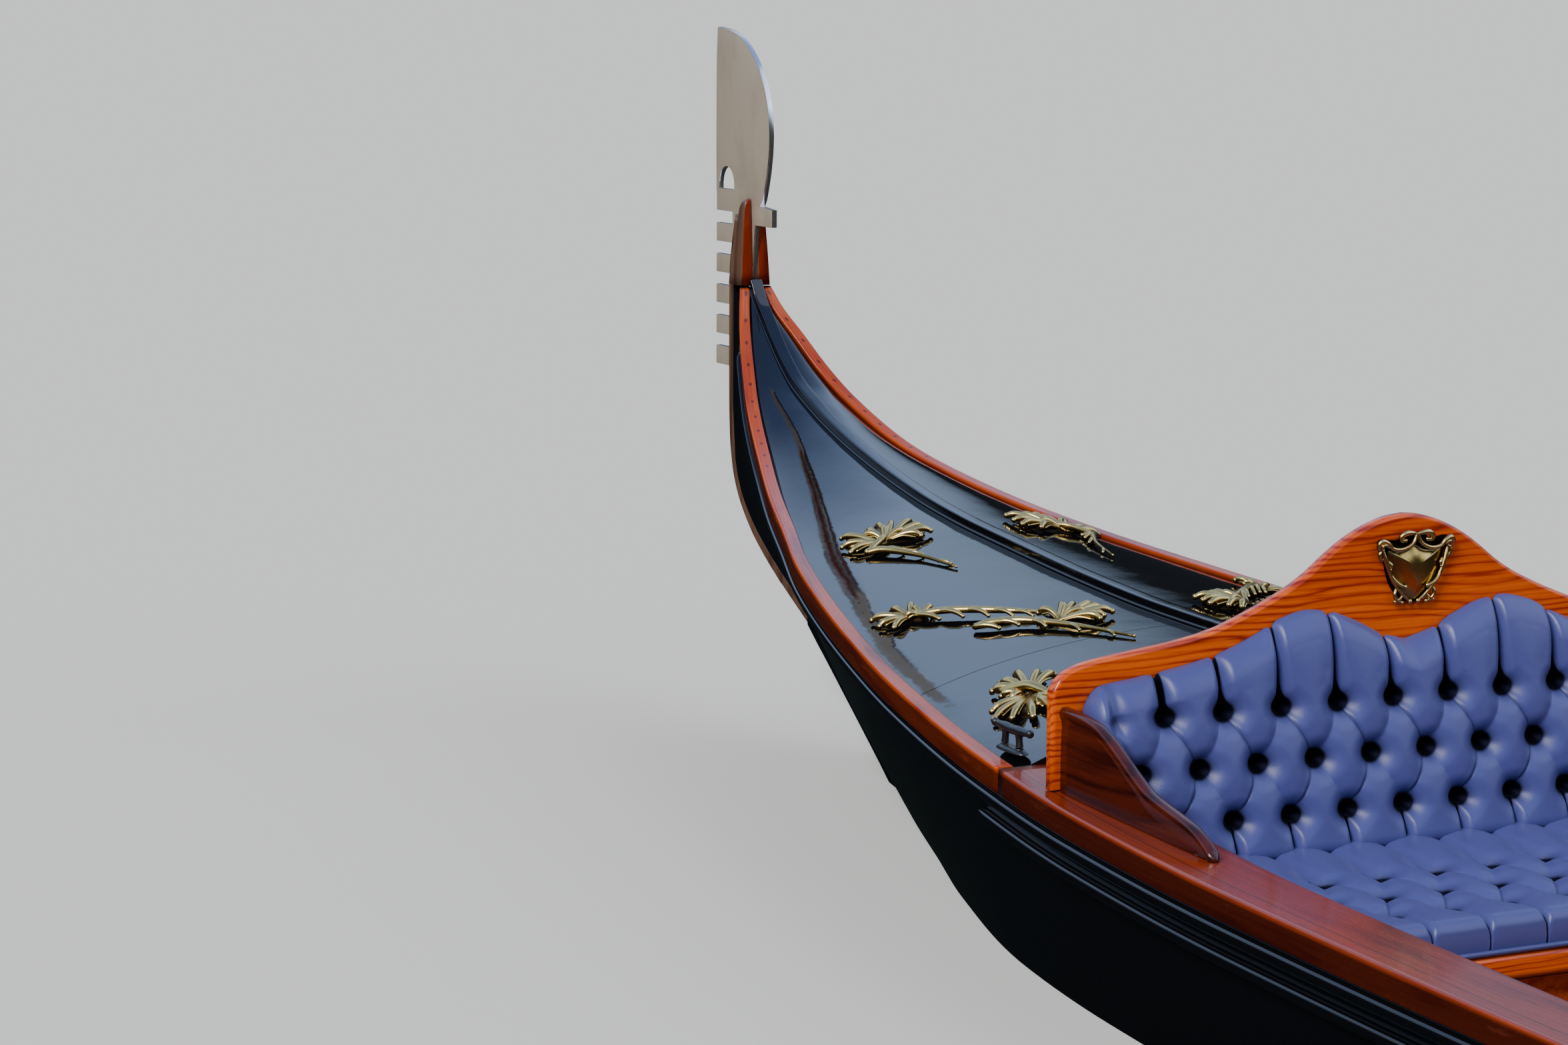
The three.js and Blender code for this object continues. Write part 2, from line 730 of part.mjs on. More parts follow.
for (const seat of SEATS) {
  // u runs from the back board's plane towards the sitter's knees.
  const X = (u) => HALF - (seat.face + seat.s * u);
  const low = Math.max(sheerZ(seat.face), sheerZ(seat.face - seat.s * BOARD_THICK)) + 0.6;
  const behind = seat.face - seat.s * BOARD_THICK;
  const inside = sheerY(behind) - railWidth(behind) - 6;
  const crest = both(BACK_PROFILE);
  const outline = [
    ...crest,
    [668, low],
    [inside, low],
    [inside, 300],
    [-inside, 300],
    [-inside, low],
    [-668, low],
  ];
  meshOf(`${seat.name}_back_board`, plate(outline, "yz", BOARD_THICK, X(-BOARD_THICK / 2)), COLOR.varnish);

  // Back cushion: leans back, so its foot stands further out from the board than its head.
  const rows = both(CUSHION_PROFILE);
  const foot = SEAT_TOP + 2;
  const narrow = (inside - 2) / 618;
  const ringAt = (k) =>
    rows.map(([y, z]) => {
      const height = foot + (z - foot) * k;
      const grow = Math.min(1, Math.max(0, (height - 584) / 34));
      return [y * (narrow + (1 - narrow) * grow), height];
    });
  const levels = [1, 0.76, 0.594, 0.478, 0];
  const n = rows.length;
  const points = [];
  for (const k of levels)
    for (const [y, z] of ringAt(k)) points.push([X(k === 1 ? 34 : 48 + (SEAT_TOP + 300 - z) * TILT), y, z]);
  for (const k of levels) for (const [y, z] of ringAt(k)) points.push([X(3), y, z]);
  const faces = [];
  const id = (side, level, i) => (side * levels.length + level) * n + i;
  for (let l = 0; l < levels.length - 1; l++)
    for (let i = 0; i < n - 1; i++)
      for (const side of [0, 1]) {
        const q = [id(side, l, i), id(side, l, i + 1), id(side, l + 1, i + 1), id(side, l + 1, i)];
        const order = side ? [q[0], q[3], q[2], q[1]] : q;
        faces.push([order[0], order[1], order[2]], [order[0], order[2], order[3]]);
      }
  for (let i = 0; i < n - 1; i++) {
    const top = [id(0, 0, i + 1), id(0, 0, i), id(1, 0, i), id(1, 0, i + 1)];
    const end = levels.length - 1;
    const under = [id(0, end, i), id(0, end, i + 1), id(1, end, i + 1), id(1, end, i)];
    for (const q of [top, under]) faces.push([q[0], q[1], q[2]], [q[0], q[2], q[3]]);
  }
  for (let l = 0; l < levels.length - 1; l++) {
    const left = [id(0, l, 0), id(0, l + 1, 0), id(1, l + 1, 0), id(1, l, 0)];
    const right = [id(0, l + 1, n - 1), id(0, l, n - 1), id(1, l, n - 1), id(1, l + 1, n - 1)];
    for (const q of [left, right]) faces.push([q[0], q[1], q[2]], [q[0], q[2], q[3]]);
  }
  meshOf(`${seat.name}_back_cushion`, fromTriangles(points, faces), COLOR.leather);

  // Seat cushion, box below it and a varnished front trim.
  const xs = [X(4), X(SEAT_DEEP + 70)].sort((a, b) => a - b);
  const seatHalf = inside - 2;
  meshOf(`${seat.name}_cushion`, box(xs[0], xs[1], -seatHalf, seatHalf, SEAT_LOW, SEAT_TOP), COLOR.leather);
  const boxX = [X(8), X(SEAT_DEEP + 30)].sort((a, b) => a - b);
  const boxHalf = seatHalf - 30;
  const outerBox = box(boxX[0], boxX[1], -boxHalf, boxHalf, FLOOR.z + FLOOR.thick + GAP, SEAT_LOW - GAP);
  const innerBox = box(boxX[0] + 18, boxX[1] - 18, -boxHalf + 18, boxHalf - 18, 0, SEAT_LOW - 20);
  meshOf(`${seat.name}_box`, cut(outerBox, innerBox), COLOR.varnish);
  const trimX = [X(SEAT_DEEP + 30.5), X(SEAT_DEEP + 74)].sort((a, b) => a - b);
  meshOf(`${seat.name}_trim`, box(trimX[0], trimX[1], -seatHalf, seatHalf, SEAT_LOW - 44, SEAT_LOW - GAP), COLOR.varnish);

  // Armrests: boards with an S-curved top that stand on the side deck.
  const ARM = [
    [2, 715],
    [60, 713],
    [104, 707],
    [139, 694],
    [183, 671],
    [225, 648],
    [262, 631],
    [300, 622],
    [340, 614],
    [385, 604],
    [417, 591],
    [438, 577],
    [449, 567],
  ];
  for (const { name, s } of sides) {
    const spots = ARM.map(([u]) => seat.face + seat.s * u);
    const y = Math.min(...spots.map((d) => sheerY(d))) - 48;
    const under = spots.map((d) => sheerZ(d) + 1.6).reverse();
    const outline2 = [
      ...ARM.map(([u, z], i) => [X(u), Math.max(z, sheerZ(spots[i]) + 4)]),
      ...ARM.map(([u]) => X(u)).reverse().map((x, i) => [x, under[i]]),
    ];
    meshOf(`${seat.name}_armrest_${name}`, plate(outline2, "xz", 22, s * y), COLOR.varnish);
  }
}

// Shield on the front back board, a blank brass escutcheon.
const SHIELD = [
  [0, -60],
  [28, -52],
  [46, -26],
  [54, 0],
  [58, 22],
  [74, 34],
  [72, 50],
  [44, 42],
  [26, 58],
  [0, 54],
  [-26, 58],
  [-44, 42],
  [-72, 50],
  [-74, 34],
  [-58, 22],
  [-54, 0],
  [-46, -26],
  [-28, -52],
].map(([y, z]) => [y - 14, z + 897]);
meshOf("back_board_shield", plate(SHIELD, "yz", 10, HALF - 2700 - 5.4), COLOR.brass);

// Bulkheads under the decks' inner ends.
for (const { name, d } of [
  { name: "fore_bulkhead", d: 2640 },
  { name: "aft_bulkhead", d: 6906 },
]) {
  const x = HALF - d;
  const y = sidePoint(d - 20, 0.06)[0] - SIDE_THICK - 8;
  const up = sidePoint(d - 20, 1)[0] - SIDE_THICK - 10;
  const topZ = sheerZ(d) - RAIL_HEIGHT - 2;
  const inY = sheerY(d) - railWidth(d) - 8;
  const top = d < 5000 ? sheerZ(d) - DECK_THICK - 12 : sheerZ(d) - 26;
  const outline = [
    [-y + 40, 36],
    [y - 40, 36],
    [y, 110],
    [up, topZ],
    [inY, topZ],
    [inY, Math.max(topZ, top)],
    [-inY, Math.max(topZ, top)],
    [-inY, topZ],
    [-up, topZ],
    [-y, 110],
  ];
  const wall = plate(outline, "yz", 18, x);
  const hole = box(x - 30, x + 30, -192.5, 192.5, 137.5, 372.5);
  meshOf(name, d < 5000 ? wall : cut(wall, hole), COLOR.varnish);
}

// Horn cleats on the deck inside the rails, just ahead of the broad board. The base is bedded on the
// deck's camber, and its top is level.
for (const { name, s } of sides) {
  const d = 2478;
  const x = HALF - d;
  const y = s * (sheerY(d) - 56);
  const under = (u, v) => deckZ(d - u, y + v) + 0.8;
  const top = Math.max(under(34, -14 * s), under(34, 14 * s)) + 6;
  const ends = [-34, 34].map((u) => [
    [x + u, y - 14, under(u, -14)],
    [x + u, y + 14, under(u, 14)],
    [x + u, y + 14, top],
    [x + u, y - 14, top],
  ]);
  const legs = [-20, 20].map((u) => cylinder(8, [x + u, y, top - 4], [x + u, y, top + 26], 14));
  const horn = cylinder(9, [x - 66, y, top + 28], [x + 66, y, top + 28], 14);
  meshOf(`cleat_${name}`, join(loft(ends), ...legs, horn), COLOR.black);
}

// Oarlock: a carved post with a crook, held in a socket block on the starboard side deck.
const LOCK_D = 7420;
const LOCK_Y = -(sheerY(LOCK_D) - 50);
const LOCK_Z = sheerZ(LOCK_D + 90) + 1;
const LOCK_THICK = 36;
const lockX = HALF - LOCK_D;
const block = box(lockX - 80, lockX + 80, LOCK_Y - 40, LOCK_Y + 40, LOCK_Z, LOCK_Z + 70);
const socket = box(lockX - 18.5, lockX + 18.5, LOCK_Y - 19.5, LOCK_Y + 19.5, LOCK_Z + 8, LOCK_Z + 90);
meshOf("oarlock_block", cut(block, socket), COLOR.varnish);
const LOCK_OUTLINE = [
  [-19, 8.5],
  [19, 8.5],
  [19, 80],
  [28, 140],
  [42, 200],
  [66, 262],
  [76, 310],
  [72, 356],
  [57, 368],
  [46, 352],
  [43, 330],
  [40, 306],
  [31, 288],
  [16, 284],
  [-16, 284],
  [-31, 288],
  [-40, 306],
  [-43, 326],
  [-54, 340],
  [-68, 330],
  [-72, 296],
  [-60, 250],
  [-40, 200],
  [-26, 140],
  [-19, 80],
].map(([y, z]) => [LOCK_Y + y, LOCK_Z + z]);
meshOf("oarlock", plate(LOCK_OUTLINE, "yz", LOCK_THICK, lockX), COLOR.varnish);

// Oar: lies in the crook with its blade trailing aft to the water. s runs along it from the crook.
const OAR_TILT = THREE.MathUtils.degToRad(13.5);
const OAR_Z = LOCK_Z + 313;
const OAR = [
  { s: -1250, wide: 13, thick: 13 },
  { s: -1242, wide: 17, thick: 17 },
  { s: -1100, wide: 18, thick: 18 },
  { s: -400, wide: 21, thick: 21 },
  { s: 0, wide: 22, thick: 22 },
  { s: 700, wide: 23, thick: 22 },
  { s: 1400, wide: 24, thick: 20 },
  { s: 1650, wide: 36, thick: 16 },
  { s: 2000, wide: 58, thick: 11 },
  { s: 2450, wide: 66, thick: 9 },
  { s: 2700, wide: 60, thick: 7 },
  { s: 2745, wide: 44, thick: 5 },
];
const oarRings = OAR.map(({ s: along, wide, thick }) =>
  Array.from({ length: 14 }, (_, i) => {
    const a = (2 * Math.PI * i) / 14;
    const up = thick * Math.sin(a);
    return [
      lockX - along * Math.cos(OAR_TILT) - up * Math.sin(OAR_TILT),
      LOCK_Y + wide * Math.cos(a),
      OAR_Z - along * Math.sin(OAR_TILT) + up * Math.cos(OAR_TILT),
    ];
  }),
);
meshOf("oar", loft(oarRings), COLOR.varnish);

// Door of the locker under the aft deck, hinged on its port edge.
const DOOR = { half: 190, low: 140, high: 370, thick: 16, play: 2.5 };
meshOf("locker_door", box(HALF - 6897 - DOOR.thick, HALF - 6897, -DOOR.half, DOOR.half, DOOR.low, DOOR.high), COLOR.varnish);

export default root;
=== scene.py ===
import json
import math

import bmesh
import bpy
import numpy as np
from mathutils import Matrix, Vector

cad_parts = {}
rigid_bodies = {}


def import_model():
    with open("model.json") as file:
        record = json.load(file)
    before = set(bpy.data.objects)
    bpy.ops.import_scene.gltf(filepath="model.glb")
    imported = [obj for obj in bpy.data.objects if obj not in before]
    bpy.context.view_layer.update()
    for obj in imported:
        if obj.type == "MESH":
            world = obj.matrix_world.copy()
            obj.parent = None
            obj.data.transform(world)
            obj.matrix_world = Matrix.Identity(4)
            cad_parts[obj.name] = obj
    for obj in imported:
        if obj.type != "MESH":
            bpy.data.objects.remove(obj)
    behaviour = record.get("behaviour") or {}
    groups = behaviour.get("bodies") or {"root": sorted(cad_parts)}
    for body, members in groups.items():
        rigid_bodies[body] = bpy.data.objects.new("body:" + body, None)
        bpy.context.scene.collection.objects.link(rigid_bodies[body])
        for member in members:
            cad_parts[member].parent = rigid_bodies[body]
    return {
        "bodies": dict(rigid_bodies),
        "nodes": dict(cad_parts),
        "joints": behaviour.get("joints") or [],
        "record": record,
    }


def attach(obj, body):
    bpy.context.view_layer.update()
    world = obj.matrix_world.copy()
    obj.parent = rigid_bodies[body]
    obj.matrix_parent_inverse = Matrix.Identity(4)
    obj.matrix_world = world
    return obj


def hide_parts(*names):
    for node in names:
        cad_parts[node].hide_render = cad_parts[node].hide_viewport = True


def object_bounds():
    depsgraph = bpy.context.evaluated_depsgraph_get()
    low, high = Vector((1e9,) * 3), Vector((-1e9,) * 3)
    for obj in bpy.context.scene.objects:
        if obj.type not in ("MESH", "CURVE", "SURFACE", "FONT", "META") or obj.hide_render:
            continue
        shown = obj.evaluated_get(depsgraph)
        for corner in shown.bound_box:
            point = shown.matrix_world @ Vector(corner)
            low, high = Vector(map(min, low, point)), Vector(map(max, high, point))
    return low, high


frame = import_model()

# Gondola boat. Lengths in the dictionaries are millimetres, d is the distance aft of the prow iron's
# front line, y is to port and z is above the flat bottom. Meshes are in metres, in the frame.
cadLow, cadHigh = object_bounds()
nodes = frame["nodes"]
halfLength = 5458.0


# smooth step: 3t^2 - 2t^3 between two limits
def smooth(low, high, v):
    t = np.clip((np.asarray(v, float) - low) / (high - low), 0, 1)
    return t * t * (3 - 2 * t)


# monotone cubic: Hermite pieces whose slopes are the harmonic means of the chords beside a knot
def fair(xs, ys):
    xs, ys = np.asarray(xs, float), np.asarray(ys, float)
    h = np.diff(xs)
    s = np.diff(ys) / h
    m = np.concatenate([s[:1], np.zeros(len(s) - 1), s[-1:]])
    same = s[:-1] * s[1:] > 0
    a, b = 2 * h[1:] + h[:-1], h[1:] + 2 * h[:-1]
    left, right = np.where(same, s[:-1], 1), np.where(same, s[1:], 1)
    m[1:-1] = np.where(same, (a + b) / (a / left + b / right), 0)

    def at(v):
        v = np.asarray(v, float)
        i = np.clip(np.searchsorted(xs, v) - 1, 0, len(h) - 1)
        t = (v - xs[i]) / h[i]
        u, w = t * t, t * t * t
        low = (2 * w - 3 * u + 1) * ys[i] + (w - 2 * u + t) * h[i] * m[i]
        return low + (3 * u - 2 * w) * ys[i + 1] + (w - u) * h[i] * m[i + 1]

    return at


# a closed or open line through the given points: Catmull-Rom pieces, share points for each piece
def flow(points, share, closed=False):
    p = np.asarray(points, float)
    if closed:
        a, b, c, d = np.roll(p, 1, 0), p, np.roll(p, -1, 0), np.roll(p, -2, 0)
    else:
        e = np.vstack([2 * p[0] - p[1], p, 2 * p[-1] - p[-2]])
        a, b, c, d = e[:-3], e[1:-2], e[2:-1], e[3:]
    t = np.linspace(0, 1, share, endpoint=False)[None, :, None]
    a, b, c, d = (q[:, None, :] for q in (a, b, c, d))
    made = b + 0.5 * t * (c - a + t * (2 * a - 5 * b + 4 * c - d + t * (3 * (b - c) + d - a)))
    made = made.reshape(-1, p.shape[1])
    return made if closed else np.vstack([made, p[-1:]])


boatLines = {
    # d, sheer y, sheer z, chine y, foot z of the side planking
    "hull": np.array([
        (143, 26, 1213, 22, 906), (170, 30, 1203, 22, 764), (200, 35, 1186, 22, 708),
        (215, 40, 1171, 22, 690), (243, 54, 1130, 22, 664), (296, 78, 1075, 22, 621),
        (377, 109, 997, 22, 570), (450, 135, 941, 22, 530),
        (630, 193, 847, 36, 434), (810, 255, 791, 60, 352), (990, 313, 751, 90, 280),
        (1200, 385, 714, 136, 211), (1400, 444, 688, 184, 159), (1700, 522, 655, 262, 101),
        (2000, 590, 627, 362, 65), (2450, 667, 594, 496, 38), (2800, 702, 572, 548, 29),
        (3300, 729, 557, 584, 26), (4200, 748, 549, 600, 25.5), (5450, 755, 547, 603, 25.5),
        (6600, 745, 554, 596, 25.5), (7300, 718, 572, 566, 27), (7900, 676, 598, 510, 34),
        (8400, 615, 634, 428, 58), (8900, 528, 688, 318, 108), (9300, 440, 750, 228, 177),
        (9700, 330, 840, 140, 274), (10000, 240, 928, 84, 372), (10300, 150, 1045, 42, 508),
        (10500, 90, 1145, 24, 626), (10600, 60, 1205, 22, 706), (10680, 39, 1262, 22, 800),
        (10730, 27, 1306, 22, 990)], float),
    "stem": np.array([
        (148, 1330), (124, 1236), (118, 1172), (119, 905), (130, 786), (162, 704),
        (226, 632), (302, 577), (388, 527), (460, 490), (526, 457)], float),
    "stern": np.array([
        (10770, 1400), (10768, 1260), (10762, 1120), (10752, 1000), (10730, 880),
        (10692, 780), (10630, 690), (10550, 612), (10480, 563), (10426, 528)], float),
    "crown": [(200, 2), (300, 4), (411, 12), (526, 29), (647, 41), (800, 45), (1010, 46), (1200, 51),
              (1400, 57), (1640, 62), (1890, 70), (2065, 79), (2300, 92), (2700, 110), (6900, 112),
              (7700, 84), (8900, 40), (9700, 24), (10700, 4)],
    "railWide": [(150, 22), (215, 25), (400, 30), (2540, 32), (2546, 146), (2740, 146), (3300, 128),
                 (7360, 128), (7560, 110), (7760, 66), (8000, 32), (10500, 32), (10660, 34), (10716, 24)],
    # planking ends this far below the sheer, under the rail
    "underRail": 44.4,
    "sideThick": 18, "sideBulge": 12, "bottomThick": 25, "deckThick": 14,
    "postDeep": 24, "postHalf": 21, "bandDeep": 5, "bandHalf": 17,
    "stemEnd": 540, "sternStart": 10410,
}
table = boatLines["hull"]
sheerY = fair(table[:, 0], table[:, 1])
sheerZ = fair(table[:, 0], table[:, 2])
chineY = fair(table[:, 0], table[:, 3])
freeFoot = fair(table[:, 0], table[:, 4])
crown = fair(*np.array(boatLines["crown"], float).T)
railWide = fair(*np.array(boatLines["railWide"], float).T)


# a post's edge line moved square to itself
def insetLine(line, inward, deep):
    run = np.vstack([line[1:], line[-1:]]) - np.vstack([line[:1], line[:-1]])
    square = np.stack([-inward * run[:, 1], inward * run[:, 0]], 1)
    return line + square / np.hypot(run[:, 0], run[:, 1])[:, None] * deep


stemFoot = fair(*insetLine(boatLines["stem"], 1, 24.6)[3:].T)
sternFoot = fair(*insetLine(boatLines["stern"], -1, 24.6)[2:][::-1].T)


# lower edge of the side planking: on the posts at the ends, free between them
def footZ(d):
    d = np.asarray(d, float)
    aft = np.where(d > boatLines["sternStart"], sternFoot(d), freeFoot(d))
    return np.where(d < boatLines["stemEnd"], stemFoot(d), aft)


# half breadth of the deck between the rails
def deckHalf(d):
    return sheerY(d) - np.minimum(railWide(d), sheerY(d) - 7) - 0.5


# deck height: a parabola from the rails up to the crown
def deckZ(d, y):
    t = np.minimum(1, np.abs(y) / deckHalf(d))
    return sheerZ(d) - 5 + (crown(d) + 5) * (1 - t * t)


# the finished deck: the same camber, let down beside the rails so that their inner faces show
def deckTop(d, y):
    t = np.minimum(1, np.abs(y) / deckHalf(d))
    return deckZ(d, y) - 8 * t ** 6


# outer face of the side planking at d, for t from the chine (0) to the sheer (1)
def sideFace(d, t):
    low, high = footZ(d), sheerZ(d) - boatLines["underRail"]
    ends = np.clip(np.minimum((d - 140) / 900, (10730 - d) / 900), 0, 1)
    bulge = boatLines["sideBulge"] * ends * np.sin(math.pi * t)
    out = chineY(d) + (sheerY(d) - 5 - chineY(d)) * t + bulge
    return out, low + (high - low) * t


# boat measures in millimetres to metres in the frame
def toFrame(d, y, z):
    d, y, z = np.broadcast_arrays(np.asarray(d, float), y, z)
    return np.stack([(halfLength - d) / 1000, y / 1000, z / 1000], -1)


# stations along the boat, closer together where it curves most
def stations(start, end, step):
    count = max(4, int((end - start) / step))
    d = np.linspace(start, end, count + 1)
    tight = np.concatenate([np.arange(start, 620, step / 3), np.arange(10200, end, step / 3)])
    d = np.concatenate([d, tight[(tight > start) & (tight < end)]])
    return np.unique(np.round(d, 1))


# smooth shading, with edges sharper than the angle kept hard
def smoothMesh(mesh, angle=None):
    mesh.polygons.foreach_set("use_smooth", np.ones(len(mesh.polygons), bool))
    if angle:
        mesh.set_sharp_from_angle(angle=math.radians(angle))


# turns all normals outward, after joining points closer than merge
def outward(mesh, merge=0.0):
    work = bmesh.new()
    work.from_mesh(mesh)
    if merge:
        bmesh.ops.remove_doubles(work, verts=work.verts, dist=merge)
    bmesh.ops.recalc_face_normals(work, faces=work.faces)
    work.to_mesh(mesh)
    work.free()


# one finished piece: object at the origin, its place in the mesh
def finish(mesh, name, material, body="hull", slot=None, replaces=(), angle=None, merge=0.0):
    outward(mesh, merge)
    smoothMesh(mesh, angle)
    mesh.name = name
    piece = bpy.data.objects.new(name, mesh)
    bpy.context.scene.collection.objects.link(piece)
    for one in material if isinstance(material, (list, tuple)) else [material]:
        mesh.materials.append(one)
    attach(piece, body)
    if replaces:
        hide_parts(*replaces)
    return piece


# mesh from points and faces; each further named array becomes an attribute of its points
def rawMesh(name, points, faces, **fields):
    mesh = bpy.data.meshes.new(name)
    mesh.from_pydata(np.asarray(points, float).reshape(-1, 3), [], faces)
    for key, values in fields.items():
        values = np.asarray(values, np.float32)
        kind = "FLOAT_VECTOR" if values.size == 3 * len(mesh.vertices) else "FLOAT"
        made = mesh.attributes.new(key, kind, "POINT")
        made.data.foreach_set("vector" if kind == "FLOAT_VECTOR" else "value", values.ravel())
    mesh.update()
    return mesh


# corner numbers of the faces of n rings of m points each, with a flat face over the first and the last
def ringFaces(n, m):
    i, j = np.meshgrid(np.arange(n - 1), np.arange(m), indexing="ij")
    on = (j + 1) % m
    around = np.stack([i * m + j, i * m + on, (i + 1) * m + on, (i + 1) * m + j], -1)
    return around.reshape(-1, 4).tolist() + [list(range(m))[::-1], list(range((n - 1) * m, n * m))]


# a profile carried along a path: rings (n, m, 3), closed round the ring, with flat end faces
def sweepMesh(name, rings, **fields):
    return rawMesh(name, rings, ringFaces(*rings.shape[:2]), **fields)


# stacks parts of (points, faces, values) into one set, their corners renumbered
def joined(parts):
    faces, first = [], 0
    for points, corners in (part[:2] for part in parts):
        faces += [[k + first for k in face] for face in corners]
        first += len(points)
    return np.vstack([part[0] for part in parts]), faces, np.concatenate([part[2] for part in parts])


# rounds every corner of closed rings with a parabola that starts at radius from the corner
def softCorners(rings, radius, steps=4):
    r = np.broadcast_to(np.asarray(radius, float), rings.shape[:2])[..., None]
    back, ahead = np.roll(rings, 1, 1) - rings, np.roll(rings, -1, 1) - rings
    longBack = np.linalg.norm(back, axis=-1, keepdims=True)
    longAhead = np.linalg.norm(ahead, axis=-1, keepdims=True)
    r = np.minimum(r, 0.48 * np.minimum(longBack, longAhead))
    start, end = rings + back / longBack * r, rings + ahead / longAhead * r
    t = np.linspace(0, 1, steps + 1)[:, None]
    made = (1 - t) ** 2 * start[:, :, None] + 2 * t * (1 - t) * rings[:, :, None] + t * t * end[:, :, None]
    return made.reshape(rings.shape[0], -1, rings.shape[2])


# box with rounded edges: the normal of a sphere grid, its flat parts pushed out to the corners
def roundBox(name, low, high, radius, turns=4):
    low, high = np.asarray(low, float), np.asarray(high, float)
    q = np.linspace(0, math.pi / 2, turns + 1)
    turn = np.concatenate([q + k * math.pi / 2 for k in range(4)])
    sideX = np.repeat([1, -1, -1, 1], turns + 1)
    sideY = np.repeat([1, 1, -1, -1], turns + 1)
    lift = np.concatenate([q - math.pi / 2, q])
    sideZ = np.repeat([-1, 1], turns + 1)
    centre, half = (low + high) / 2, (high - low) / 2
    r = np.minimum(radius, half.min() * 0.999)
    x = np.cos(lift)[:, None] * np.cos(turn) * r + sideX * (half[0] - r) + centre[0]
    y = np.cos(lift)[:, None] * np.sin(turn) * r + sideY * (half[1] - r) + centre[1]
    z = (np.sin(lift) * r + sideZ * (half[2] - r) + centre[2])[:, None] + 0 * turn
    points = np.stack([x, y, z], -1) / 1000
    return sweepMesh(name, points)


# puts the pattern coordinates of a mesh into its grain attribute; order names the axes, long first
def grainFrom(mesh, order):
    place = np.empty(len(mesh.vertices) * 3, np.float32)
    mesh.vertices.foreach_get("co", place)
    place = place.reshape(-1, 3)[:, ["xyz".index(c) for c in order]]
    made = mesh.attributes.new("grain", "FLOAT_VECTOR", "POINT")
    made.data.foreach_set("vector", place.ravel())
    return mesh


# plate cut from closed outlines (u, v), the first the outer one: a filled 2-D curve made thick. With
# bevel the curve's own round edge is used; with chamfer the rim edges are cut after it is filled, and
# the rim and its cuts get the second material.
def cutPlate(name, loops, thick, plane, centre, bevel=0.0, segments=3, chamfer=0.0):
    curve = bpy.data.curves.new(name, "CURVE")
    curve.dimensions = "2D"
    curve.fill_mode = "BOTH"
    curve.extrude = (thick / 2 - bevel) / 1000
    curve.bevel_depth = bevel / 1000
    curve.bevel_resolution = segments
    curve.offset = -bevel / 1000
    for k, loop in enumerate(loops):
        loop = np.asarray(loop, float) / 1000
        area = np.sum(loop[:, 0] * np.roll(loop[:, 1], -1) - loop[:, 1] * np.roll(loop[:, 0], -1))
        loop = loop[::-1] if (area < 0) == (k == 0) else loop
        spline = curve.splines.new("POLY")
        spline.points.add(len(loop) - 1)
        flat = np.hstack([loop, np.zeros((len(loop), 1)), np.ones((len(loop), 1))])
        spline.points.foreach_set("co", flat.ravel())
        spline.use_cyclic_u = True
    holder = bpy.data.objects.new(name, curve)
    bpy.context.scene.collection.objects.link(holder)
    bpy.context.view_layer.update()
    mesh = bpy.data.meshes.new_from_object(holder.evaluated_get(bpy.context.evaluated_depsgraph_get()))
    bpy.data.objects.remove(holder)
    if chamfer:
        work = bmesh.new()
        work.from_mesh(mesh)
        bmesh.ops.remove_doubles(work, verts=work.verts, dist=1e-5)
        bmesh.ops.recalc_face_normals(work, faces=work.faces)
        for face in work.faces:
            face.material_index = int(abs(face.normal.z) < 0.5)
        rim = [e for e in work.edges if len(e.link_faces) == 2
               and e.link_faces[0].material_index != e.link_faces[1].material_index]
        bmesh.ops.bevel(work, geom=rim, offset=chamfer / 1000, segments=2, profile=0.6, affect="EDGES",
                        clamp_overlap=True, material=1)
        work.to_mesh(mesh)
        work.free()
    place = np.empty(len(mesh.vertices) * 3, np.float32)
    mesh.vertices.foreach_get("co", place)
    u, v, w = place.reshape(-1, 3).T
    mid = centre / 1000
    placed = {"xz": (u, mid + w, v), "yz": (mid + w, u, v)}[plane]
    mesh.vertices.foreach_set("co", np.stack(placed, 1).astype(np.float32).ravel())
    mesh.update()
    return mesh


# gives a mesh's faces that look along an axis the second material of its list
def faceMaterial(mesh, axis, least=0.7):
    normal = np.empty(len(mesh.polygons) * 3, np.float32)
    mesh.polygons.foreach_get("normal", normal)
    side = np.abs(normal.reshape(-1, 3)[:, axis]) > least
    mesh.polygons.foreach_set("material_index", side.astype(np.int32))


# keeps flat faces flat beside rounded edges
def flatFaces(piece):
    made = piece.modifiers.new("flat faces", "WEIGHTED_NORMAL")
    made.mode = "FACE_AREA"
    made.weight = 80
    return piece


sides = (("port", 1), ("starboard", -1))


# One output socket. Arithmetic on it adds Math nodes to its graph.
class Wire:
    def __init__(self, graph, socket):
        self.graph = graph
        self.socket = socket

    def __add__(self, other):
        return self.graph.maths("ADD", self, other)

    def __sub__(self, other):
        return self.graph.maths("SUBTRACT", self, other)

    def __rsub__(self, other):
        return self.graph.maths("SUBTRACT", other, self)

    def __mul__(self, other):
        return self.graph.maths("MULTIPLY", self, other)

    def __truediv__(self, other):
        return self.graph.maths("DIVIDE", self, other)

    def __rtruediv__(self, other):
        return self.graph.maths("DIVIDE", other, self)

    def __pow__(self, other):
        return self.graph.maths("POWER", self, other)

    __radd__ = __add__
    __rmul__ = __mul__


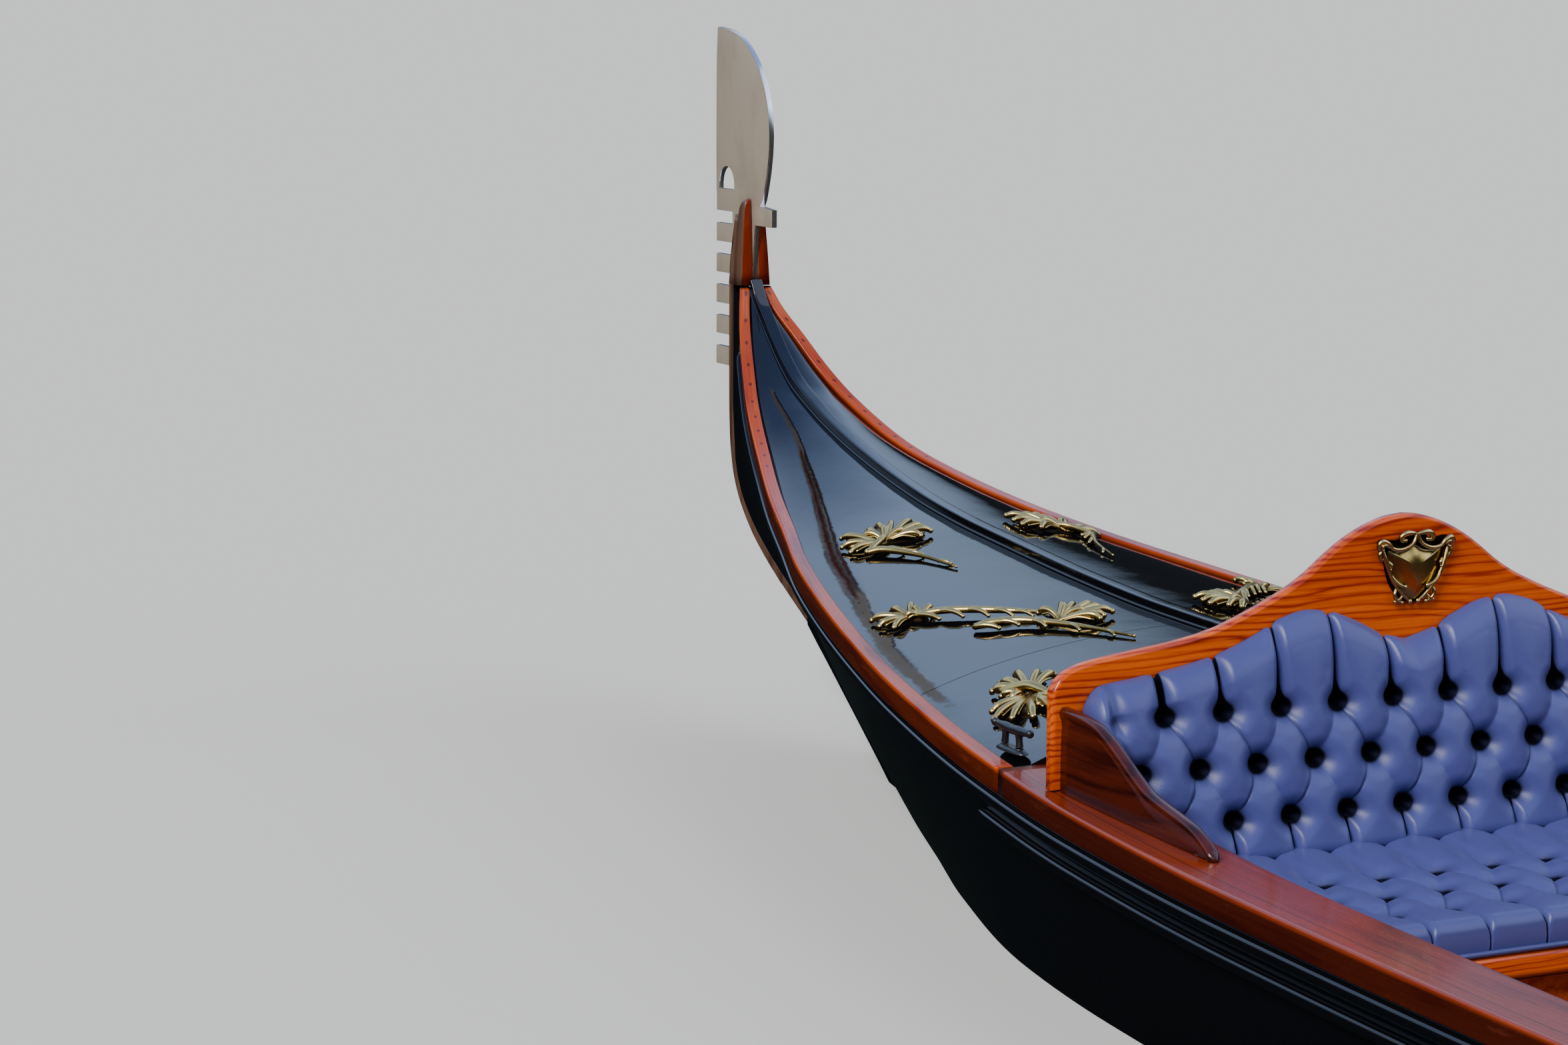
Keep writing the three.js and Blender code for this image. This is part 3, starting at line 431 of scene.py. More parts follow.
# The node tree of one material or of the world, and the nodes that this boat's finishes use.
class Graph:
    def __init__(self, name, tree=None):
        if tree is None:
            self.material = bpy.data.materials.new(name)
            self.material.use_nodes = True
        self.tree = tree or self.material.node_tree
        self.tree.nodes.clear()

    # any node: its type, its settings, then the values or links of its sockets
    def node(self, kind, settings=None, values=None, output=0):
        made = self.tree.nodes.new("ShaderNode" + kind)
        for key, value in (settings or {}).items():
            if key == "stops":
                ramp = made.color_ramp
                while len(ramp.elements) < len(value):
                    ramp.elements.new(0.5)
                for element, (place, colour) in zip(ramp.elements, value):
                    element.position = place
                    element.color = (*colour, 1)
            else:
                setattr(made, key, value)
        for key, value in (values or {}).items():
            if isinstance(value, Wire):
                self.tree.links.new(value.socket, made.inputs[key])
            else:
                made.inputs[key].default_value = value
        return None if output is None else Wire(self, made.outputs[output])

    def maths(self, operation, *values, clamp=False):
        return self.node("Math", {"operation": operation, "use_clamp": clamp}, dict(enumerate(values)))

    def limit(self, value, low, high, start=0.0, end=1.0):
        return self.node("MapRange", {"clamp": True}, {0: value, 1: low, 2: high, 3: start, 4: end})

    def object(self):
        return self.node("TexCoord", output=3)

    def field(self, name, output=1):
        return self.node("Attribute", {"attribute_name": name}, output=output)

    def scaled(self, place, scale, move=(0, 0, 0)):
        return self.node("Mapping", None, {"Vector": place, "Scale": scale, "Location": move})

    def noise(self, place, scale, detail=3.0, rough=0.5, warp=0.0):
        return self.node("TexNoise", None, {"Vector": place, "Scale": scale, "Detail": detail,
                                            "Roughness": rough, "Distortion": warp})

    def cells(self, place, scale):
        return self.node("TexVoronoi", None, {"Vector": place, "Scale": scale})

    def ramp(self, value, stops):
        return self.node("ValToRGB", {"stops": stops}, {0: value})

    def mix(self, share, one, two):
        one = one if isinstance(one, Wire) else (*one, 1)
        two = two if isinstance(two, Wire) else (*two, 1)
        return self.node("Mix", {"data_type": "RGBA"}, {0: share, 6: one, 7: two}, output=2)

    def bump(self, height, strength, distance, below=None):
        values = {"Height": height, "Strength": strength, "Distance": distance}
        if below is not None:
            values["Normal"] = below
        return self.node("Bump", None, values)

    def surface(self, **values):
        names = {"colour": "Base Color", "rough": "Roughness", "metal": "Metallic", "normal": "Normal",
                 "coat": "Coat Weight", "coatRough": "Coat Roughness", "ior": "IOR", "sheen": "Sheen Weight",
                 "sheenRough": "Sheen Roughness", "specular": "Specular IOR Level"}
        sockets = {names[k]: (*v, 1) if isinstance(v, tuple) else v for k, v in values.items()}
        shader = self.node("BsdfPrincipled", None, sockets)
        self.node("OutputMaterial", None, {"Surface": shader}, output=None)
        return self.material


# Gloss black lacquer: slow waves from hand sanding, faint dust and water spots.
lacquerLook = {"colour": (0.0028, 0.0032, 0.0046), "dust": (0.05, 0.052, 0.056), "rough": 0.045,
               "wave": 0.012}


def lacquer(name, dusty=0.4, waves=1.0, gloss=0.62):
    g = Graph(name)
    place = g.object()
    slow = g.noise(place, 2.2, 2.0)
    fine = g.noise(place, 11.0, 3.0, 0.55)
    dust = g.limit(g.noise(place, 190.0, 4.0, 0.7), 0.60, 0.80)
    spots = g.limit(g.cells(place, 60.0), 0.16, 0.05) * g.limit(g.noise(place, 7.0, 2.0), 0.5, 0.7)
    haze = g.limit(fine, 0.35, 0.75)
    soiled = dust * (dusty * 0.30) + spots * (dusty * 0.12)
    colour = g.mix(soiled, lacquerLook["colour"], lacquerLook["dust"])
    rough = lacquerLook["rough"] + haze * 0.04 + dust * (0.1 * dusty) + spots * (0.12 * dusty)
    wave = g.bump(slow + fine * 0.10, 0.42 * waves, lacquerLook["wave"])
    return g.surface(colour=colour, rough=rough, normal=g.bump(dust, 0.05, 0.0004, wave), ior=1.5,
                     specular=gloss)


# Varnished wood: rings seen as wavy lines along the plank, dark pores, thick clear varnish over it.
woodLook = {
    # the pores and late wood, the ground and the early wood of each timber
    "orange": ((0.045, 0.003, 0.0008), (0.38, 0.027, 0.0010), (0.84, 0.140, 0.004)),
    "rail": ((0.050, 0.0045, 0.001), (0.27, 0.024, 0.002), (0.52, 0.080, 0.005)),
    "cap": ((0.016, 0.0014, 0.0005), (0.090, 0.0055, 0.0007), (0.22, 0.020, 0.0015)),
    "red": ((0.032, 0.0035, 0.0015), (0.14, 0.012, 0.0025), (0.30, 0.040, 0.006)),
    "dark": ((0.009, 0.0015, 0.001), (0.034, 0.0038, 0.0016), (0.085, 0.011, 0.0034)),
    "floor": ((0.075, 0.028, 0.012), (0.19, 0.080, 0.032), (0.30, 0.145, 0.062)),
    "oar": ((0.30, 0.16, 0.060), (0.50, 0.31, 0.135), (0.64, 0.44, 0.215)),
    "grey": ((0.030, 0.014, 0.008), (0.075, 0.036, 0.022), (0.130, 0.072, 0.046)),
}


# rings: bands to the metre; plugs, seam and planks: what is let into the board, in metres. Below the given
# height under its top edge the sides are darkened as painted shade
def wood(name, tone, rings, coat, whole=False, plugs=None, worn=0.0, shine=0.16, seam=None, shadedBelow=None,
         planks=None):
    g = Graph(name)
    dark, mid, light = woodLook[tone]
    at = g.object() if whole else g.field("grain")
    long, across, up = (g.node("SeparateXYZ", None, {0: at}, output=k) for k in range(3))
    warp = g.noise(g.scaled(at, (1.3, 6.0, 6.0)), 1.0, 3.0, 0.55)
    level = up * rings + across * (rings * 0.35) + warp * (rings * 0.085 + 3.0) + long * 0.35
    level = level + g.noise(g.scaled(at, (2.6, 34.0, 34.0)), 1.0, 3.0, 0.6) * (1.2 + rings * 0.012)
    faint = g.noise(g.scaled(at, (1.6, 16.0, 16.0), (5, 2, 7)), 1.0, 2.0)
    ring = g.maths("PINGPONG", level, 1.0) ** 2.6 * g.limit(faint, 0.30, 0.62, 0.25, 1.0)
    streak = g.noise(g.scaled(at, (3.0, 170.0, 170.0)), 1.0, 4.0, 0.66)
    pore = g.limit(g.noise(g.scaled(at, (22.0, 620.0, 620.0)), 1.0, 2.0, 0.6), 0.60, 0.72)
    patch = g.noise(g.scaled(at, (1.3, 7.0, 7.0), (3, 1, 2)), 1.0, 2.0)
    shade = g.maths("ADD", ring * 0.52 + streak * 0.62 - 0.12, patch * 0.42 - 0.20, clamp=True)
    colour = g.ramp(shade, [(0.06, light), (0.46, mid), (0.92, dark)])
    colour = g.mix(pore * 0.55, colour, dark)
    rough = shine + streak * 0.10 + pore * 0.08
    height = streak * 0.4 + (1 - pore) * 0.5 + ring * 0.25
    if plugs:
        step = g.maths("PINGPONG", long / plugs["step"], 0.5) * (plugs["step"] * 2)
        off = across - plugs["side"]
        away = (step * step * 0.25 + off * off) ** 0.5
        dot = g.limit(away, plugs["radius"] * 1.12, plugs["radius"] * 0.88) * g.limit(long, 0.72, 0.70)
        colour = g.mix(dot * 0.72, colour, dark)
        height = height + dot * -0.5
    if seam:
        line = g.limit(g.maths("ABSOLUTE", across - seam), 0.0016, 0.0006)
        colour = g.mix(line * 0.85, colour, (0.02, 0.006, 0.004))
        height = height - line
    if planks:
        course = g.maths("PINGPONG", up / planks, 0.5) * (planks * 2)
        line = g.limit(course, 0.0040, 0.0014)
        colour = g.mix(line * 0.88, colour, (0.010, 0.003, 0.002))
        height = height - line * 1.5
    # painted shade: the sides of a rail or board under its top are darkened
    if shadedBelow:
        low = g.limit(up, shadedBelow, shadedBelow - 0.006)
        colour = g.mix(low * 0.86, colour, tuple(v * 0.55 for v in dark))
    if worn:
        rub = g.limit(g.noise(g.scaled(at, (6.0, 30.0, 30.0)), 1.0, 4.0, 0.65), 0.62, 0.74) * worn
        colour = g.mix(rub * 0.5, colour, tuple(min(1.0, v * 1.5 + 0.05) for v in light))
        rough = rough + rub * 0.25
    return g.surface(colour=colour, rough=rough, normal=g.bump(height, 0.10 + 0.12 * (1 - coat), 0.0006),
                     coat=coat, coatRough=0.09, ior=1.5, specular=0.22)


# Leather: fine cell grain, soft creases; painted shade makes it darker and duller down in the folds and tufts.
leatherLook = {"top": (0.070, 0.083, 0.288), "low": (0.0012, 0.0016, 0.0080), "cell": 720.0, "rough": 0.30}


def leather(name, tone=1.0):
    g = Graph(name)
    place = g.object()
    deep = g.field("deep", 2)
    cell = g.cells(place, leatherLook["cell"])
    mottle = g.noise(place, 9.0, 3.0, 0.6)
    crease = g.noise(place, 46.0, 4.0, 0.6, 0.8)
    top = tuple(v * tone for v in leatherLook["top"])
    low = tuple(v * tone for v in leatherLook["low"])
    shade = g.mix(g.limit(mottle, 0.3, 0.7) * 0.22, top, tuple(v * 0.74 for v in top))
    # painted shade: the deep attribute darkens the folds and tufts towards the near-black low colour
    colour = g.mix(g.limit(deep, 0.08, 0.85), shade, low)
    rough = leatherLook["rough"] + mottle * 0.10 + deep * 0.20
    coarse = g.bump(crease, 0.14, 0.0022)
    fine = g.bump(cell, 0.22, 0.00045, coarse)
    # painted shade: a near-black metal gives back no light, so the bottoms of the tufts read as shadowed
    paintedShadeMetal = g.limit(deep, 0.42, 0.85) * 0.9
    return g.surface(colour=colour, rough=rough, metal=paintedShadeMetal, normal=fine, sheen=0.03, sheenRough=0.5, ior=1.48,
                     specular=0.42)


# Steel: flat faces brushed up and down, with stains and small pits.
steelLook = {"face": (0.58, 0.49, 0.38), "stain": (0.32, 0.25, 0.19), "edge": (0.80, 0.80, 0.79),
             "brushed": (900.0, 60.0, 14.0), "rough": 0.38}


def steel(name):
    g = Graph(name)
    place = g.object()
    brush = g.noise(g.scaled(place, steelLook["brushed"]), 1.0, 3.0, 0.6)
    broad = g.noise(g.scaled(place, (9.0, 9.0, 3.5)), 1.0, 4.0, 0.6)
    pit = g.limit(g.noise(place, 420.0, 3.0, 0.6), 0.64, 0.76)
    face = g.mix(g.limit(broad, 0.48, 0.72) * 0.6 + pit * 0.35, steelLook["face"], steelLook["stain"])
    face = g.mix(brush * 0.35, face, tuple(v * 1.25 for v in steelLook["face"]))
    rough = steelLook["rough"] + brush * 0.14 + pit * 0.1
    dents = g.bump(broad, 0.10, 0.003, g.bump(brush, 0.12, 0.0003))
    return g.surface(colour=face, rough=rough, metal=0.55, normal=dents)


# The ground edge of the same plate: file marks across it, almost a mirror.
def steelEdge(name):
    g = Graph(name)
    marks = g.noise(g.scaled(g.object(), (90.0, 20.0, 600.0)), 1.0, 3.0, 0.6)
    colour = g.mix(marks * 0.3, steelLook["edge"], steelLook["face"])
    return g.surface(colour=colour, rough=0.12 + marks * 0.10, metal=0.95,
                     normal=g.bump(marks, 0.06, 0.0003))


# Antique brass: patina brown-black down in the carving, with painted shade on undersides and painted highlight on
# tops.
brassLook = {"high": (0.66, 0.47, 0.155), "mid": (0.27, 0.165, 0.042), "low": (0.016, 0.010, 0.004)}


def brass(name):
    g = Graph(name)
    place = g.object()
    deep = g.field("deep", 2)
    cloud = g.noise(place, 26.0, 4.0, 0.6)
    grit = g.noise(place, 300.0, 3.0, 0.6)
    level = deep + (cloud - 0.5) * 0.55
    colour = g.ramp(g.limit(level, 0.0, 1.0),
                    [(0.08, brassLook["high"]), (0.34, brassLook["mid"]), (0.68, brassLook["low"])])
    rough = 0.20 + cloud * 0.14 + g.limit(level, 0.3, 1.0) * 0.36
    cast = g.bump(grit, 0.14, 0.0005)
    soft = g.bump(cloud, 0.20, 0.002, cast)
    return g.surface(colour=colour, rough=rough, metal=1.0, normal=soft)


# Painted iron: thick gloss paint over a cast skin.
def paintedIron(name):
    g = Graph(name)
    place = g.object()
    skin = g.noise(place, 160.0, 3.0, 0.6)
    chip = g.limit(g.noise(place, 55.0, 4.0, 0.7), 0.68, 0.72)
    colour = g.mix(chip * 0.6, (0.011, 0.011, 0.013), (0.07, 0.05, 0.04))
    return g.surface(colour=colour, rough=0.30 + skin * 0.14 + chip * 0.3, normal=g.bump(skin, 0.25, 0.0008),
                     coat=0.2, coatRough=0.15)


black = lacquer("black lacquer")
hullBlack = lacquer("hull lacquer", dusty=0.25, waves=0.7, gloss=0.45)
capWood = wood("stem cap varnish", "cap", rings=40.0, coat=0.3)
railWood = wood("rail varnish", "rail", rings=30.0, worn=0.3, shadedBelow=-0.004, coat=0.3,
                plugs={"step": 0.045, "side": -0.016, "radius": 0.0040})
boardWood = wood("side board varnish", "red", rings=20.0, worn=0.25, shine=0.22, seam=-0.032,
                 shadedBelow=-0.004, coat=0.3)
backWood = wood("back board varnish", "orange", rings=150.0, coat=0.35)
redWood = wood("mahogany varnish", "dark", rings=60.0, coat=0.4)
innerWood = wood("lining varnish", "rail", whole=True, rings=70.0, coat=0.3, planks=0.112)
floorWood = wood("floor boards", "floor", rings=20.0, coat=0.25, worn=0.5, shine=0.38)
oarWood = wood("oar varnish", "oar", whole=True, rings=36.0, coat=0.8)
walnut = wood("oarlock varnish", "red", whole=True, rings=30.0, coat=0.6)
stemWood = wood("stem timber", "grey", rings=34.0, coat=0.4, worn=0.6, shine=0.34)
blueLeather = leather("blue leather")
pipeLeather = leather("piping leather", 0.8)
brushedSteel = steel("brushed steel")
polishedEdge = steelEdge("polished edge")
oldBrass = brass("antique brass")
blackIron = paintedIron("black painted iron")
print("materials made")


hullSpec = {"step": 42, "sideRows": 12, "bottomStep": 60}


# side planking: outer face by sideFace, inner face the same moved in by the plank's thickness
def sidePlanking(side, s):
    d = stations(144, 10726, hullSpec["step"])[:, None]
    t = np.linspace(0, 1, hullSpec["sideRows"] + 1)[None, :]
    y, z = sideFace(d, t)
    inner = np.maximum(y - boatLines["sideThick"], 1)
    ring = toFrame(np.broadcast_to(d, (d.shape[0], 2 * t.size)), s * np.hstack([y, inner[:, ::-1]]),
                   np.hstack([z, z[:, ::-1]]))
    finish(sweepMesh("hullSide_" + side, ring), "hullSide_" + side, hullBlack, slot="black_lacquer",
           replaces=["side_planking_" + side], angle=40)


# bottom planking: flat across from chine to chine
def bottomPlanking():
    d = stations(boatLines["stemEnd"], boatLines["sternStart"], hullSpec["bottomStep"])[:, None]
    across = np.linspace(-1, 1, 13)[None, :]
    y = chineY(d) * across
    top = footZ(d) - 0.5 + 0 * y
    ring = toFrame(np.broadcast_to(d, (d.shape[0], 26)), np.hstack([y, y[:, ::-1]]),
                   np.hstack([top - boatLines["bottomThick"], top[:, ::-1]]))
    finish(sweepMesh("hullBottom", ring), "hullBottom", hullBlack, slot="black_lacquer",
           replaces=["bottom_planking"], angle=40)


# post: the edge line and its inset, with rounded corners, carried down the line; clear is the space left
# between the line and the post
def post(name, line, inward, half, deep, clear, material, slot, node, radius):
    fine = flow(line, 6)
    near, far = insetLine(fine, inward, clear), insetLine(fine, inward, clear + deep)
    corner = np.stack([np.stack([near[:, 0], 0 * near[:, 0] - half, near[:, 1]], -1),
                       np.stack([near[:, 0], 0 * near[:, 0] + half, near[:, 1]], -1),
                       np.stack([far[:, 0], 0 * far[:, 0] + half, far[:, 1]], -1),
                       np.stack([far[:, 0], 0 * far[:, 0] - half, far[:, 1]], -1)], 1)
    ring = softCorners(corner, radius)
    mesh = sweepMesh(name, toFrame(ring[..., 0], ring[..., 1], ring[..., 2]))
    grainFrom(mesh, "zyx")
    flatFaces(finish(mesh, name, material, slot=slot, replaces=[node]))


for side, s in sides:
    sidePlanking(side, s)
bottomPlanking()
postSize, bandSize = ((boatLines[k + "Half"], boatLines[k + "Deep"]) for k in ("post", "band"))
stemBandLine = np.vstack([[(118, 944)], boatLines["stem"][3:9]])
post("stemPost", boatLines["stem"], 1, *postSize, 0, stemWood, "black_lacquer", "stem_post", 4)
post("sternPost", boatLines["stern"], -1, *postSize, 0, black, "black_lacquer", "stern_post", 4)
post("stemBand", stemBandLine, -1, *bandSize, 0.4, brushedSteel, "steel", "stem_band", 2)
post("sternBand", boatLines["stern"][3:9], 1, *bandSize, 0.4, brushedSteel, "steel", "stern_band", 2)
print("hull made")


railSpec = {"fore": (214, 2546), "middle": (2546.4, 7760), "aft": (7760.4, 10664), "step": 22,
            "foreMost": 32, "most": 146, "deep": 44, "ledge": 40, "radius": [2.5, 7, 4, 2.5, 1.5, 1.5]}


# rail: an L-shaped section with rounded corners, carried along the sheer line
def rail(name, part, s, material, node):
    d = stations(*railSpec[part], railSpec["step"])
    y, z = np.minimum(sheerY(d), cadHigh[1] * 1000), sheerZ(d)
    w = np.minimum(np.minimum(railWide(d), y - 7), railSpec["foreMost" if part == "fore" else "most"])
    foot = z - railSpec["deep"]
    inner = foot + 1 + 13 * np.clip((w - 44) / 40, 0, 1)
    ledge = np.minimum(w - 6, railSpec["ledge"])
    corners = [(y, foot), (y, z), (y - w, z), (y - w, inner), (y - ledge, inner - 0.5), (y - ledge + 2, foot)]
    ring = softCorners(np.stack([np.stack(corner, -1) for corner in corners], 1), railSpec["radius"])
    long = np.broadcast_to(d[:, None], ring.shape[:2])
    grain = np.stack([long, ring[..., 0] - y[:, None], ring[..., 1] - z[:, None]], -1) / 1000
    mesh = sweepMesh(name, toFrame(long, s * ring[..., 0], ring[..., 1]), grain=grain)
    flatFaces(finish(mesh, name, material, slot="varnished_wood", replaces=[node]))


for side, s in sides:
    rail("foreRail_" + side, "fore", s, railWood, "fore_rail_" + side)
    rail("sideBoard_" + side, "middle", s, boardWood, "side_deck_" + side)
    rail("aftRail_" + side, "aft", s, railWood, "aft_rail_" + side)

rubSpec = {"upperRub": {"node": "upper_rub_rail_", "span": (280, 10400), "drop": 62, "high": 24, "out": 13.6},
           "lowerRub": {"node": "lower_rub_rail_", "span": (2440, 8000), "drop": 104, "high": 26, "out": 17.6},
           "step": 34, "endSteps": np.array([2, 5, 10, 18])}


# rub rail: stands out from the side planking by out * cos(turn)^0.75, its ends rounded in plan
def rubRail(name, side, s):
    spec = rubSpec[name]
    start, end = spec["span"]
    ends = rubSpec["endSteps"]
    d = np.unique(np.concatenate([stations(start, end, rubSpec["step"]), start + ends, end - ends]))
    mid = sheerZ(d) - spec["drop"]
    near = np.minimum(d - start, end - d)
    grow = np.sqrt(np.clip(1 - (1 - np.clip(near / 22, 0, 1)) ** 2, 0.02, 1))
    turn = np.linspace(-math.pi / 2, math.pi / 2, 11)
    z = mid[:, None] + spec["high"] / 2 * np.sin(turn) * (0.4 + 0.6 * grow[:, None])
    low, high = footZ(d)[:, None], sheerZ(d)[:, None] - boatLines["underRail"]
    face = sideFace(d[:, None], np.minimum(1, (z - low) / (high - low)))[0] + 1.2
    y = face + (spec["out"] * np.abs(np.cos(turn)) ** 0.75) * grow[:, None]
    mesh = sweepMesh(name, toFrame(np.broadcast_to(d[:, None], z.shape), s * y, z))
    finish(mesh, name + "_" + side, hullBlack, slot="black_lacquer", replaces=[spec["node"] + side], angle=50)


for name in ("upperRub", "lowerRub"):
    for side, s in sides:
        rubRail(name, side, s)
print("gunwales made")


deckSpec = {
    "decks": [("foreDeck", "fore_deck", 222, 2060), ("foreDeckPanel", "fore_deck_panel", 2062, 2674),
              ("aftDeck", "aft_deck", 6924, 10640)],
    "step": 26,
    # the rail widens between these two stations, so both are among the deck's own
    "railStep": np.array([2540, 2546]),
}


# deck: the cambered height over a grid of stations and offsets, with its underside
def deck(name, node, start, end):
    extra = deckSpec["railStep"]
    extra = extra[(extra > start) & (extra < end)]
    d = np.unique(np.append(stations(start, end, deckSpec["step"]), extra))[:, None]
    across = np.sin(np.linspace(-1, 1, 41) * math.pi / 2)[None, :]
    y = deckHalf(d) * across
    top = deckTop(d, y)
    ring = toFrame(np.broadcast_to(d, (d.shape[0], 82)), np.hstack([y, y[:, ::-1]]),
                   np.hstack([top, top[:, ::-1] - boatLines["deckThick"]]))
    finish(sweepMesh(name, ring), name, black, slot="black_lacquer", replaces=[node], angle=40)


for spec in deckSpec["decks"]:
    deck(*spec)

ridgeSpec = {
    "ridges": [("foreRidge", "fore_deck_ridge", 219, 2674), ("aftRidge", "aft_deck_ridge", 6924, 10640)],
    "high": 18,
    # half the section: share of the half width, share of the height
    "section": [(1.30, 0.0), (1.32, 0.10), (1.24, 0.20), (1.12, 0.22), (1.03, 0.20), (1.0, 0.30), (1.0, 0.84),
                (0.97, 0.93), (0.90, 0.98), (0.78, 1.0), (0.40, 1.01)],
}


# ridge: a cap with steep sides, a flat top and a bead at its foot, along the middle of the deck
def ridge(name, node, start, end):
    d = stations(start, end, deckSpec["step"])
    wide = np.maximum(np.minimum(14, sheerY(d) - 26), 8)
    half = np.array(ridgeSpec["section"])
    section = np.vstack([half, (half * [-1, 1])[::-1]])
    y = section[None, :, 0] * wide[:, None]
    z = (sheerZ(d) + crown(d) + 0.6)[:, None] + section[None, :, 1] * ridgeSpec["high"]
    drop = (crown(d)[:, None] + 5) * (y / deckHalf(d)[:, None]) ** 2
    z = z - drop * (section[None, :, 1] < 0.25)
    mesh = sweepMesh(name, toFrame(np.broadcast_to(d[:, None], y.shape), y, z))
    finish(mesh, name, black, slot="black_lacquer", replaces=[node], angle=38)


for spec in ridgeSpec["ridges"]:
    ridge(*spec)
print("decks made")


ironSpec = {
    "thick": 12, "chamfer": 1.3,
    "head": [(18, 1380), (16.4, 1470), (16.2, 1560), (16.6, 1640), (18, 1700), (22, 1746), (60, 1743), (93, 1738),
             (130, 1729), (163, 1715), (201, 1690), (232, 1661), (257, 1630), (274, 1600), (286, 1567), (293, 1520),
             (292, 1480), (285, 1440), (275, 1405), (262, 1370), (250, 1352)],
    "tailTooth": [(310, 1347), (310, 1308), (222, 1308), (214, 1250), (206, 1180), (143.2, 1180), (149.2, 1231),
                  (172.6, 1323.6), (173.2, 1326.2), (147.6, 1332.6), (122.6, 1236.5), (117.6, 1172), (117.6, 950),
                  (104, 950)],
    "toothTop": 1374, "toothPitch": 70.2, "toothHigh": 42, "toothFront": 20, "spine": 104,
    "hole": [(32, 1382), (112, 1382), (112, 1396), (106, 1414), (92, 1428), (72, 1433), (52, 1428), (38, 1414),
             (32, 1396)],
}


# prow iron: the head's fair curve, six square teeth and the spine as one outline
def prowIron():
    head = np.array(ironSpec["head"], float)
    fineHead = np.vstack([flow(head[:5], 4)[:-1], head[5:6], flow(head[6:], 5)])
    tops = ironSpec["toothTop"] - ironSpec["toothPitch"] * np.arange(5, -1, -1)
    front, spine, high = ironSpec["toothFront"], ironSpec["spine"], ironSpec["toothHigh"]
    corners = [(spine, tops - high), (front, tops - high), (front, tops), (spine, tops)]
    teeth = np.stack([np.stack([0 * tops + x, z], -1) for x, z in corners], 1).reshape(-1, 2)[:-1]
    outline = np.vstack([fineHead, ironSpec["tailTooth"], teeth])
    hole = flow(np.array(ironSpec["hole"], float)[1:], 4)
    hole = np.vstack([[ironSpec["hole"][0]], hole])
    loops = [np.stack([halfLength - loop[:, 0], loop[:, 1]], -1) for loop in (outline, hole)]
    mesh = cutPlate("prowIron", loops, ironSpec["thick"], "xz", 0, chamfer=ironSpec["chamfer"])
    finish(mesh, "prowIron", [brushedSteel, polishedEdge], slot="steel", replaces=["prow_iron"], angle=25)


sternIronSpec = {
    "curl": [(10771.5, 1010), (10784, 1010), (10788, 1120), (10798, 1240), (10826, 1330), (10868, 1390),
             (10899, 1450), (10895, 1520), (10860, 1559), (10812, 1556), (10784, 1524), (10786, 1490),
             (10812, 1508), (10842, 1510), (10858, 1490), (10850, 1454), (10810, 1430), (10790, 1412)],
    "step": [(10740, 1412), (10740, 1402), (10771.5, 1402)],
    "aftMost": 10899.6,
}


# stern iron: a flat bar curled round at its top, stepped where it sits on the post
def sternIron():
    line = np.array(sternIronSpec["curl"], float)
    outline = np.vstack([line[:1], flow(line[1:], 5), sternIronSpec["step"]])
    outline[:, 0] = np.minimum(outline[:, 0], sternIronSpec["aftMost"])
    plate = [np.stack([halfLength - outline[:, 0], outline[:, 1]], -1)]
    mesh = cutPlate("sternIron", plate, ironSpec["thick"], "xz", 0, chamfer=ironSpec["chamfer"])
    finish(mesh, "sternIron", [brushedSteel, polishedEdge], slot="steel", replaces=["stern_iron"], angle=25)


prowIron()
sternIron()

capSpec = {
    # z, fore d, aft d and outer y, up the stem
    "rows": [(1173.5, 146, 217, 36), (1204, 148.5, 215.5, 34.5), (1236, 151, 214, 33), (1268, 159.5, 212, 31),
             (1300, 168, 210, 29), (1322, 172.5, 208.5, 27), (1345, 177, 207, 25), (1357, 182, 205.6, 22),
             (1363, 186, 204.5, 18.5), (1366, 190, 202, 14)],
    "inner": 6.6, "radius": 5,
}


# stem cap: a tapered wedge of varnished wood beside the iron
def stemCap(side, s):
    z, fore, aft, outer = np.array(capSpec["rows"], float).T
    inner = 0 * z + capSpec["inner"]
    corners = [(fore, s * inner, z), (fore, s * outer, z), (aft, s * outer, z), (aft, s * inner, z)]
    ring = softCorners(np.stack([np.stack(corner, -1) for corner in corners], 1), capSpec["radius"])
    cap = grainFrom(sweepMesh("stemCap_" + side, toFrame(ring[..., 0], ring[..., 1], ring[..., 2])), "zyx")
    outward(cap)
    faceMaterial(cap, 1)
    flatFaces(finish(cap, "stemCap_" + side, [capWood, stemWood], slot="varnished_wood",
                     replaces=["stem_cap_" + side]))


for side, s in sides:
    stemCap(side, s)
print("irons made")


sofaSpec = {
    "front": {"face": 2700, "s": 1, "node": "front_seat"},
    "rear": {"face": 5560, "s": -1, "node": "rear_seat"},
    "boardThick": 24, "lean": 12, "boxTop": 396,
    "clear": {"board": 6, "back": 8, "seat": 8.5, "piping": 14},
    "fill": {"back": 0.8, "seat": 0.7}, "pipe": 4.6,
    "crest": [(0, 986), (30, 983), (60, 975), (90, 963), (120, 947), (150, 927), (190, 897), (225, 876), (265, 857),
              (310, 838), (370, 817), (440, 803), (520, 793), (590, 784), (628, 775), (655, 759), (668, 738)],
    "cushionTop": [(0, 780), (50, 794), (100, 818), (150, 836), (195, 842), (245, 832), (300, 806), (360, 784),
                   (430, 768), (520, 755), (590, 746), (618, 730)],
    "arm": [(2, 715), (60, 713), (104, 707), (139, 694), (183, 671), (225, 648), (262, 631), (300, 622), (340, 614),
            (385, 604), (417, 591), (438, 577), (449, 567)],
}
backSpec = {"pitch": 110.0, "shift": -10.0, "rowMid": 605.0, "rowStep": 86.0, "rows": 210, "columns": 600,
            "foot": 455.0, "widest": 617.4, "roll": 44.0, "pit": 46.0, "pitWide": 50.0,
            "pleat": 42.0, "crown": 7.0, "valley": 2.6, "lip": 1.6, "groove": 2.2, "swell": 5.0}
